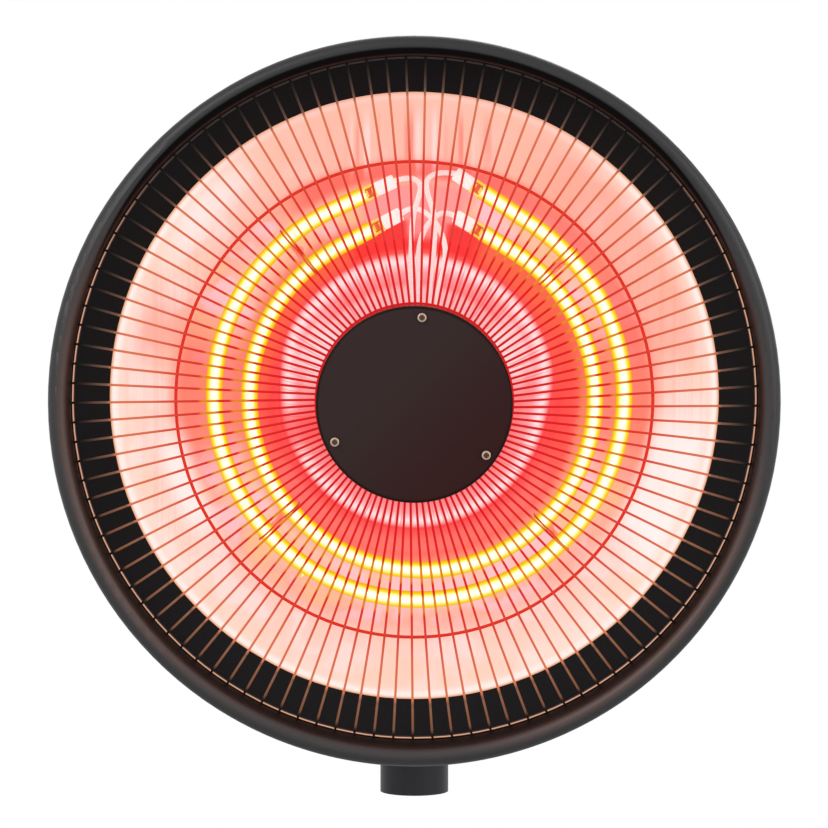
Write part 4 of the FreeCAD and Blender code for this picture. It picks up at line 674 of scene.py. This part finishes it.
# %% Places on the lamps
LAMP_BACK = 46.7
OUTER_LAMP = {"ring": 127.2, "shift": 3.0, "rise": 2.0,
              "left": -25.0, "left_run": 23.1, "right": 33.5, "right_run": 38.1}
INNER_LAMP = {"ring": 107.2, "shift": 4.9, "rise": 0.5,
              "left": -28.0, "left_run": 22.7, "right": 31.2, "right_run": 21.7}
LAMP_ENDS = {"outer_left": (OUTER_LAMP, "left", 1), "outer_right": (OUTER_LAMP, "right", -1),
             "inner_left": (INNER_LAMP, "left", 1), "inner_right": (INNER_LAMP, "right", -1)}


def lamp_spot(lamp, turn, along):
    """A place on a lamp's middle line: turn is from the top, and along goes on straight to the right."""
    sine, cosine = math.sin(math.radians(turn)), math.cos(math.radians(turn))
    right = lamp["shift"] + lamp["ring"] * sine + along * cosine
    down = -lamp["rise"] - lamp["ring"] * cosine + along * sine
    return on_head(right, down, LAMP_BACK)


def lamp_end(name, past):
    """A place on the line of one lamp end, so far past the end of the round glass."""
    lamp, side, way = LAMP_ENDS[name]
    return lamp_spot(lamp, lamp[side], way * (lamp[f"{side}_run"] + past))


print("lamp ends at", {name: [round(value, 3) for value in lamp_end(name, 0)] for name in LAMP_ENDS})

# %% [markdown]
# ## Glowing quartz
#
# The lamps are clear quartz, full of light. Seen across, a lamp is white in the middle and turns yellow and
# then orange towards its sides, where the eye looks along the glass wall. The way that a spot of the
# glass faces, in the lamp's own frame, gives that colour, so it stays on the glass when the head tilts.
# The pinched ends are yellow.

# %% Lamp glass
quartz, tree, shader = new_finish("glowing_quartz")
spot = tree.nodes.new("ShaderNodeTexCoord")
front = add_node(tree, "VectorMath", operation="DOT_PRODUCT")
front.inputs[1].default_value = (0, -1, 0)
tree.links.new(spot.outputs["Normal"], front.inputs[0])
facing = add_math(tree, "ABSOLUTE", front.outputs["Value"])
shine = add_ramp(tree, facing, [
    (0.0, linear(238, 140, 24)), (0.31, linear(250, 176, 14)), (0.56, linear(253, 204, 20)),
    (0.70, linear(255, 226, 44)), (0.80, linear(255, 243, 116)), (0.93, linear(255, 252, 196)),
    (1.0, linear(255, 254, 228))])
pinches = add_step(tree, nearest_of(tree, [lamp_end(name, 3.2) for name in LAMP_ENDS]), 6.4, 4.6)
shine = add_tint(tree, shine, pinches, linear(255, 222, 66))
light = add_node(tree, "Emission", strength=1.0)
tree.links.new(shine, light.inputs["Color"])
clear = tree.nodes.new("ShaderNodeBsdfTransparent")
thickness = add_node(tree, "MapRange", from_min=0.6, from_max=1.0, to_min=0.95, to_max=0.5)
tree.links.new(facing, thickness.inputs["Value"])
veil = add_node(tree, "MixShader")
tree.links.new(thickness.outputs["Result"], veil.inputs[0])
tree.links.new(clear.outputs[0], veil.inputs[1])
tree.links.new(light.outputs[0], veil.inputs[2])
tree.links.new(veil.outputs[0], tree.nodes["Material Output"].inputs["Surface"])
dress(quartz, "outer_tube", "inner_tube")

# %% [markdown]
# ## Ceramic ends and sleeves
#
# Each lamp ends in a block of steatite, a matt white ceramic, and each lead runs in a sleeve of braided
# glass. Both are white, and the red light turns them pink. Their finishes glow a little, which stands
# for the light of the lamps beside them.

# %% Ceramic finish
ceramic, tree, shader = new_finish("lamp_lit_ceramic")
shader.inputs["Roughness"].default_value = 0.75
grain = add_grain(tree, shader, 700, 0.3)
shade = add_ramp(tree, grain, [(0.35, linear(236, 222, 216)), (0.65, linear(248, 240, 234))])
tree.links.new(shade, shader.inputs["Base Color"])
# Painted lamp light: the ceramic ends and eyelets glow a little.
shader.inputs["Emission Color"].default_value = linear(255, 236, 230)
shader.inputs["Emission Strength"].default_value = 0.55
dress(ceramic, "tube_ceramics", "lead_eyelets")
block = grained_finish("cold_ceramic", (222, 214, 206), (240, 234, 226), 0.75, 700, 0.3)
dress(block, "terminal_block")

# %% [markdown]
# ## Tools for new pieces
#
# Most new pieces start as a primitive and are shaped in edit mode. Operators act on whatever is selected,
# so one helper selects a single object and one picks faces by a test. Others apply its modifiers, clean
# its mesh and hand the finished piece to the head, which it then moves with.

# %% Helpers for new pieces
def take(piece):
    """Makes one object the only selected and the active one."""
    bpy.ops.object.select_all(action="DESELECT")
    piece.select_set(True)
    bpy.context.view_layer.objects.active = piece


def apply_modifiers(piece):
    """Turns what the modifiers make into the mesh itself."""
    take(piece)
    for modifier in list(piece.modifiers):
        bpy.ops.object.modifier_apply(modifier=modifier.name)


MERGE_GAP = 0.005 * MM


def clean_mesh(piece, close=False):
    """Merges doubles, closes open ends if asked, and turns every face outwards."""
    take(piece)
    bpy.ops.object.mode_set(mode="EDIT")
    bpy.ops.mesh.select_all(action="SELECT")
    bpy.ops.mesh.remove_doubles(threshold=MERGE_GAP)
    if close:
        bpy.ops.mesh.fill_holes(sides=0)
        bpy.ops.mesh.select_all(action="SELECT")
    bpy.ops.mesh.normals_make_consistent(inside=False)
    bpy.ops.object.mode_set(mode="OBJECT")


def select_faces(piece, test):
    """Selects the faces that pass a test, and goes on in edit mode."""
    take(piece)
    bpy.ops.object.mode_set(mode="EDIT")
    bpy.ops.mesh.select_mode(type="FACE")
    bpy.ops.mesh.select_all(action="DESELECT")
    bpy.ops.object.mode_set(mode="OBJECT")
    for face in piece.data.polygons:
        face.select = test(face)
    bpy.ops.object.mode_set(mode="EDIT")


def hand_over(piece, name, material):
    """Names a finished piece, gives it its finish and lets it ride on the head."""
    take(piece)
    piece.name = name
    bpy.ops.object.transform_apply(location=True, rotation=True, scale=True)
    bpy.ops.object.shade_smooth_by_angle(angle=math.radians(40))
    piece.data.materials.clear()
    piece.data.materials.append(material)
    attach(piece, "head")
    print(name, "has", len(piece.data.polygons), "faces")


# %% [markdown]
# ## Wound filaments
#
# Inside each lamp a thin wire is wound into a long coil. It could be a curve with a bevel, but a coil of
# hundreds of turns is quicker as a screw: a small circle is turned and pushed along a line, and then that
# straight coil is bent along the middle of the lamp by a guide curve, which is thrown away afterwards.

# %% Guide curves
def lamp_guide(lamp):
    """A curve along the middle of a lamp, from its left end round the bottom to its right end."""
    ring, left, right = lamp["ring"], lamp["left"], lamp["right"]
    spans = 12
    step = (360 + left - right) / spans
    reach = ring * 4 / 3 * math.tan(math.radians(step) / 4)
    turns = [left - step * number for number in range(spans + 1)]
    knots = [(left, lamp["left_run"], lamp["left_run"] / 3, lamp["left_run"] / 3)]
    knots += [(turn, 0, reach, reach) for turn in turns]
    knots.append((right, -lamp["right_run"], lamp["right_run"] / 3, lamp["right_run"] / 3))
    curve = bpy.data.curves.new("lamp_guide", "CURVE")
    curve.dimensions = "3D"
    curve.resolution_u = 24
    spline = curve.splines.new("BEZIER")
    spline.bezier_points.add(len(knots) - 1)
    for point, (turn, along, before, after) in zip(spline.bezier_points, knots):
        point.handle_left_type = point.handle_right_type = "FREE"
        point.co = lamp_spot(lamp, turn, along)
        point.handle_left = lamp_spot(lamp, turn, along + before)
        point.handle_right = lamp_spot(lamp, turn, along - after)
    guide = bpy.data.objects.new("lamp_guide", curve)
    bpy.context.collection.objects.link(guide)
    length = lamp["left_run"] + lamp["right_run"] + math.radians(360 + left - right) * ring
    return guide, length


# %% Filament finish
hot, tree, shader = new_finish("white_hot_wire")
shader.inputs["Base Color"].default_value = (1, 0.9, 0.7, 1)
noise = add_node(tree, "TexNoise", scale=420, detail=3.0)
spot = tree.nodes.new("ShaderNodeTexCoord")
tree.links.new(spot.outputs["Object"], noise.inputs["Vector"])
heat = add_ramp(tree, noise.outputs["Fac"], [(0.3, linear(255, 242, 170)), (0.6, linear(255, 253, 228))])
tree.links.new(heat, shader.inputs["Emission Color"])
shader.inputs["Emission Strength"].default_value = 1.6

# %% Coils
COIL_RADIUS = 2.45
COIL_WIRE = 0.42
COIL_PITCH = 1.35
COIL_MARGIN = 0.8


def wind_coil(name, lamp, node):
    """A coil along a lamp: a circle screwed along X and bent round the guide."""
    guide, length = lamp_guide(lamp)
    turns = int((length - 2 * COIL_MARGIN) / COIL_PITCH)
    bpy.ops.object.select_all(action="DESELECT")
    bpy.ops.mesh.primitive_circle_add(vertices=5, radius=COIL_WIRE * MM,
                                      location=(COIL_MARGIN * MM, COIL_RADIUS * MM, 0))
    coil = bpy.context.object
    bpy.ops.object.transform_apply(location=True, rotation=True, scale=True)
    winding = coil.modifiers.new("winding", "SCREW")
    winding.axis = "X"
    winding.screw_offset = COIL_PITCH * MM
    winding.iterations = turns
    winding.steps = winding.render_steps = 9
    bend = coil.modifiers.new("round_the_lamp", "CURVE")
    bend.object = guide
    bend.deform_axis = "POS_X"
    apply_modifiers(coil)
    bpy.data.objects.remove(guide)
    clean_mesh(coil, close=True)
    hand_over(coil, name, hot)
    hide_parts(node)
    print(turns, "turns over", round(length), "mm")


wind_coil("outer_coil", OUTER_LAMP, "outer_filament")
wind_coil("inner_coil", INNER_LAMP, "inner_filament")

# %% [markdown]
# ## Sealed tip of the outer lamp
#
# A quartz lamp is pumped out through a thin stem, which is then melted off and leaves a small nib. It sits
# low on the left of the outer ring. A short cone with two more rings pulled out of its tip gives the
# drop shape, and a subdivision rounds it.

# %% Nib
NIB_TURN = 213.0
NIB_REACH = 5.6
NIB_FOOT = 1.9
NIB_TIP = 1.0
NIB_HEIGHT = 1.6
sine, cosine = math.sin(math.radians(NIB_TURN)), math.cos(math.radians(NIB_TURN))
outwards = Vector((sine, 0, cosine))
lamp_middle = on_head(OUTER_LAMP["shift"], -OUTER_LAMP["rise"], LAMP_BACK)
foot = lamp_middle + outwards * (OUTER_LAMP["ring"] + NIB_REACH) * MM
bpy.ops.object.select_all(action="DESELECT")
bpy.ops.mesh.primitive_cone_add(
    vertices=12, radius1=NIB_FOOT * MM, radius2=NIB_TIP * MM, depth=NIB_HEIGHT * MM,
    location=foot, rotation=outwards.to_track_quat("Z", "Y").to_euler())
nib = bpy.context.object
select_faces(nib, lambda face: face.normal.z > 0.9)
for pull, width in ((0.9, 0.72), (0.5, 0.45)):
    bpy.ops.mesh.extrude_region_move(TRANSFORM_OT_translate={"value": outwards * pull * MM})
    bpy.ops.transform.resize(value=(width, width, width))
bpy.ops.object.mode_set(mode="OBJECT")
rounding = nib.modifiers.new("rounding", "SUBSURF")
rounding.levels = rounding.render_levels = 2
apply_modifiers(nib)
clean_mesh(nib)
hand_over(nib, "lamp_nib", quartz)

# %% [markdown]
# ## Clamps on the pinched ends
#
# Where the glass is pinched flat, a small steel clamp sits on it and takes the current. It is shaped like
# the letter I: a short stem with a bar across each end. A box is the stem, and the bars grow out
# of its two ends by extrusion. One clamp is the pattern, and each of the four ends gets a copy.

# %% One clamp
# The clamps are steel: their orange-red glow is painted light from the lamps they sit on.
lamp_lit_clamp_steel = grained_finish("lamp_lit_clamp_steel", (196, 66, 34), (228, 108, 58), 0.5, 900, 0.4, glow=0.45)
STEM = (2.7, 1.0, 4.0)
BAR_WIDTH = 1.75
BAR_STEP = 0.1
BAR_HEIGHT = 0.9
EDGE_ROUNDING = 0.12


def make_clamp():
    """An I-shaped clamp round the origin, stem upright."""
    bpy.ops.object.select_all(action="DESELECT")
    bpy.ops.mesh.primitive_cube_add(size=1)
    clamp = bpy.context.object
    clamp.scale = [side * MM for side in STEM]
    bpy.ops.object.transform_apply(location=True, rotation=True, scale=True)
    for way in (1, -1):
        select_faces(clamp, lambda face: face.normal.z * way > 0.9)
        bpy.ops.mesh.extrude_region_move(TRANSFORM_OT_translate={"value": (0, 0, way * BAR_STEP * MM)})
        bpy.ops.transform.resize(value=(BAR_WIDTH, 1, 1))
        bpy.ops.mesh.extrude_region_move(TRANSFORM_OT_translate={"value": (0, 0, way * BAR_HEIGHT * MM)})
        bpy.ops.object.mode_set(mode="OBJECT")
    edges = clamp.modifiers.new("edges", "BEVEL")
    edges.width = EDGE_ROUNDING * MM
    edges.segments = 2
    apply_modifiers(clamp)
    clean_mesh(clamp)
    return clamp


# %% Four clamps
CLAMP_PAST = 2.9
CLAMP_FORWARD = Vector((0, -2.3 * MM, 0))
pattern = make_clamp()
clamps = []
for name, (lamp, side, _) in LAMP_ENDS.items():
    copy = pattern.copy()
    copy.data = pattern.data.copy()
    bpy.context.collection.objects.link(copy)
    copy.location = lamp_end(name, CLAMP_PAST) + CLAMP_FORWARD
    copy.rotation_euler = (0, math.radians(lamp[side]), 0)
    clamps.append(copy)
bpy.data.objects.remove(pattern)
take(clamps[0])
for copy in clamps:
    copy.select_set(True)
bpy.ops.object.join()
hand_over(clamps[0], "lamp_clamps", lamp_lit_clamp_steel)

# %% [markdown]
# ## Braided sleeves
#
# The four leads come out of the ceramic ends, bend over and run down to the eyelets in the reflector's
# middle. A lead is limp, so its line is one smooth spline, led by the route's corners, and not straight
# runs with round corners. The sleeve is a tube along that line, and its weave follows the tube: two sets
# of crossing threads.

# %% Sleeve finish
THREADS_ALONG = 75
THREADS_AROUND = 6
sleeve, tree, shader = new_finish("glass_sleeve")
shader.inputs["Roughness"].default_value = 0.8
spot = tree.nodes.new("ShaderNodeTexCoord")
parts = tree.nodes.new("ShaderNodeSeparateXYZ")
tree.links.new(spot.outputs["UV"], parts.inputs["Vector"])
along = add_math(tree, "MULTIPLY", parts.outputs["X"], THREADS_ALONG * math.tau)
around = add_math(tree, "MULTIPLY", parts.outputs["Y"], THREADS_AROUND * math.tau)
one_way = add_math(tree, "SINE", add_math(tree, "ADD", along, around))
other_way = add_math(tree, "SINE", add_math(tree, "SUBTRACT", along, around))
crossing = add_math(tree, "MULTIPLY", one_way, other_way)
weave = add_math(tree, "ADD", add_math(tree, "MULTIPLY", crossing, 0.5), 0.5)
shade = add_ramp(tree, weave, [(0.0, linear(238, 196, 194)), (0.6, linear(252, 234, 231))])
tree.links.new(shade, shader.inputs["Base Color"])
bump = add_node(tree, "Bump", strength=0.5, distance=0.0002)
tree.links.new(weave, bump.inputs["Height"])
tree.links.new(bump.outputs["Normal"], shader.inputs["Normal"])
shader.inputs["Emission Color"].default_value = linear(255, 214, 211)
shader.inputs["Emission Strength"].default_value = 0.52

# %% Sleeves
SLEEVE_RADIUS = 1.7
PINCH_AND_CERAMIC = 19.2
EYELET_ROW = -51.0
ROUTES = {
    "outer_left": [(-3.5, -138.2, 46.7), (4.6, -134.0, 46.7), (2.6, -124.5, 46.7), (-1.2, -114.0, 46.7),
                   (-2.0, -88.0, 46.1), (-2.6, -69.5, 45.1)],
    "inner_right": [(17.5, -118.0, 43.1), (6.0, -106.5, 42.1), (2.2, -92.0, 43.1), (3.2, -69.5, 44.7)],
    "outer_right": [(16.8, -141.2, 46.7), (7.2, -137.2, 46.7), (7.8, -127.5, 46.7), (13.2, -113.5, 46.9),
                    (12.0, -90.0, 46.3), (9.2, -69.5, 44.9)],
    "inner_left": [(-1.5, -120.3, 50.9), (12.0, -112.5, 52.3), (19.6, -97.0, 51.1), (18.8, -82.0, 48.7),
                   (15.0, -69.5, 46.1)],
}
SLEEVE_BACKS = (44.0, 51.0, 60.0, 121.2)
EYELETS = {"outer_left": -2.5, "inner_right": 3.0, "outer_right": 8.5, "inner_left": 14.0}


def make_sleeve(name):
    """A sleeve along its route, from a ceramic end into its eyelet."""
    points = [lamp_end(name, PINCH_AND_CERAMIC)]
    points += [on_head(*corner) for corner in ROUTES[name]]
    points += [on_head(EYELETS[name], EYELET_ROW, back) for back in SLEEVE_BACKS]
    curve = bpy.data.curves.new(name, "CURVE")
    curve.dimensions = "3D"
    spline = curve.splines.new("NURBS")
    spline.points.add(len(points) - 1)
    for point, place in zip(spline.points, points):
        point.co = (*place, 1)
    spline.order_u = 3
    spline.use_endpoint_u = True
    curve.resolution_u = 10
    curve.bevel_depth = SLEEVE_RADIUS * MM
    curve.bevel_resolution = 3
    curve.use_fill_caps = True
    tube = bpy.data.objects.new(name, curve)
    bpy.context.collection.objects.link(tube)
    take(tube)
    bpy.ops.object.convert(target="MESH")
    tube = bpy.context.object
    hand_over(tube, f"sleeve_{name}", sleeve)
    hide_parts(f"lead_{name}")


for name in ROUTES:
    make_sleeve(name)

# %% [markdown]
# ## Welds of the guard
#
# Each wire is spot welded to the three rings, and a weld leaves a little squashed bead. The wires do not
# point at the axis but pass it on one side, so a ring meets them a little further round than their start.
# There are hundreds of beads, so one is made, and an array turns it round the axis, once for each wire.

# %% Weld beads
WIRE_COUNT = 109
WIRE_START = math.radians(0.3)
WIRE_SKEW = 2.85 * MM
RING_WIRE = 1.0 * MM
BEAD_RADIUS = 1.15 * MM
BEAD_SINK = 0.25 * MM
RINGS = {"guard_outer_ring": edge_lit, "guard_middle_ring": ring_lamp_glow, "guard_inner_ring": hub_lamp_glow}


def weld_beads(ring_name):
    """Beads where the wires lie on one ring."""
    low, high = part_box(ring_name)
    radius = (high[0] - low[0]) / 2 - RING_WIRE
    first = WIRE_START + math.asin(WIRE_SKEW / radius)
    bpy.ops.object.select_all(action="DESELECT")
    bpy.ops.mesh.primitive_ico_sphere_add(subdivisions=1, radius=BEAD_RADIUS,
                                          location=(radius * math.cos(first), 0, -radius * math.sin(first)))
    bead = bpy.context.object
    bpy.ops.object.mode_set(mode="EDIT")
    bpy.ops.transform.resize(value=(1.0, 0.75, 1.1))
    bpy.ops.object.mode_set(mode="OBJECT")
    bpy.ops.object.transform_apply(location=True, rotation=True, scale=True)
    bpy.ops.object.empty_add(location=(0, 0, 0), rotation=(0, math.tau / WIRE_COUNT, 0))
    turn = bpy.context.object
    row = bead.modifiers.new("round_the_axis", "ARRAY")
    row.count = WIRE_COUNT
    row.use_relative_offset = False
    row.use_object_offset = True
    row.offset_object = turn
    apply_modifiers(bead)
    bpy.data.objects.remove(turn)
    bead.location = (0, low[1] + BEAD_SINK, AXIS_HEIGHT)
    hand_over(bead, ring_name.replace("ring", "welds"), RINGS[ring_name])


for ring_name in RINGS:
    weld_beads(ring_name)
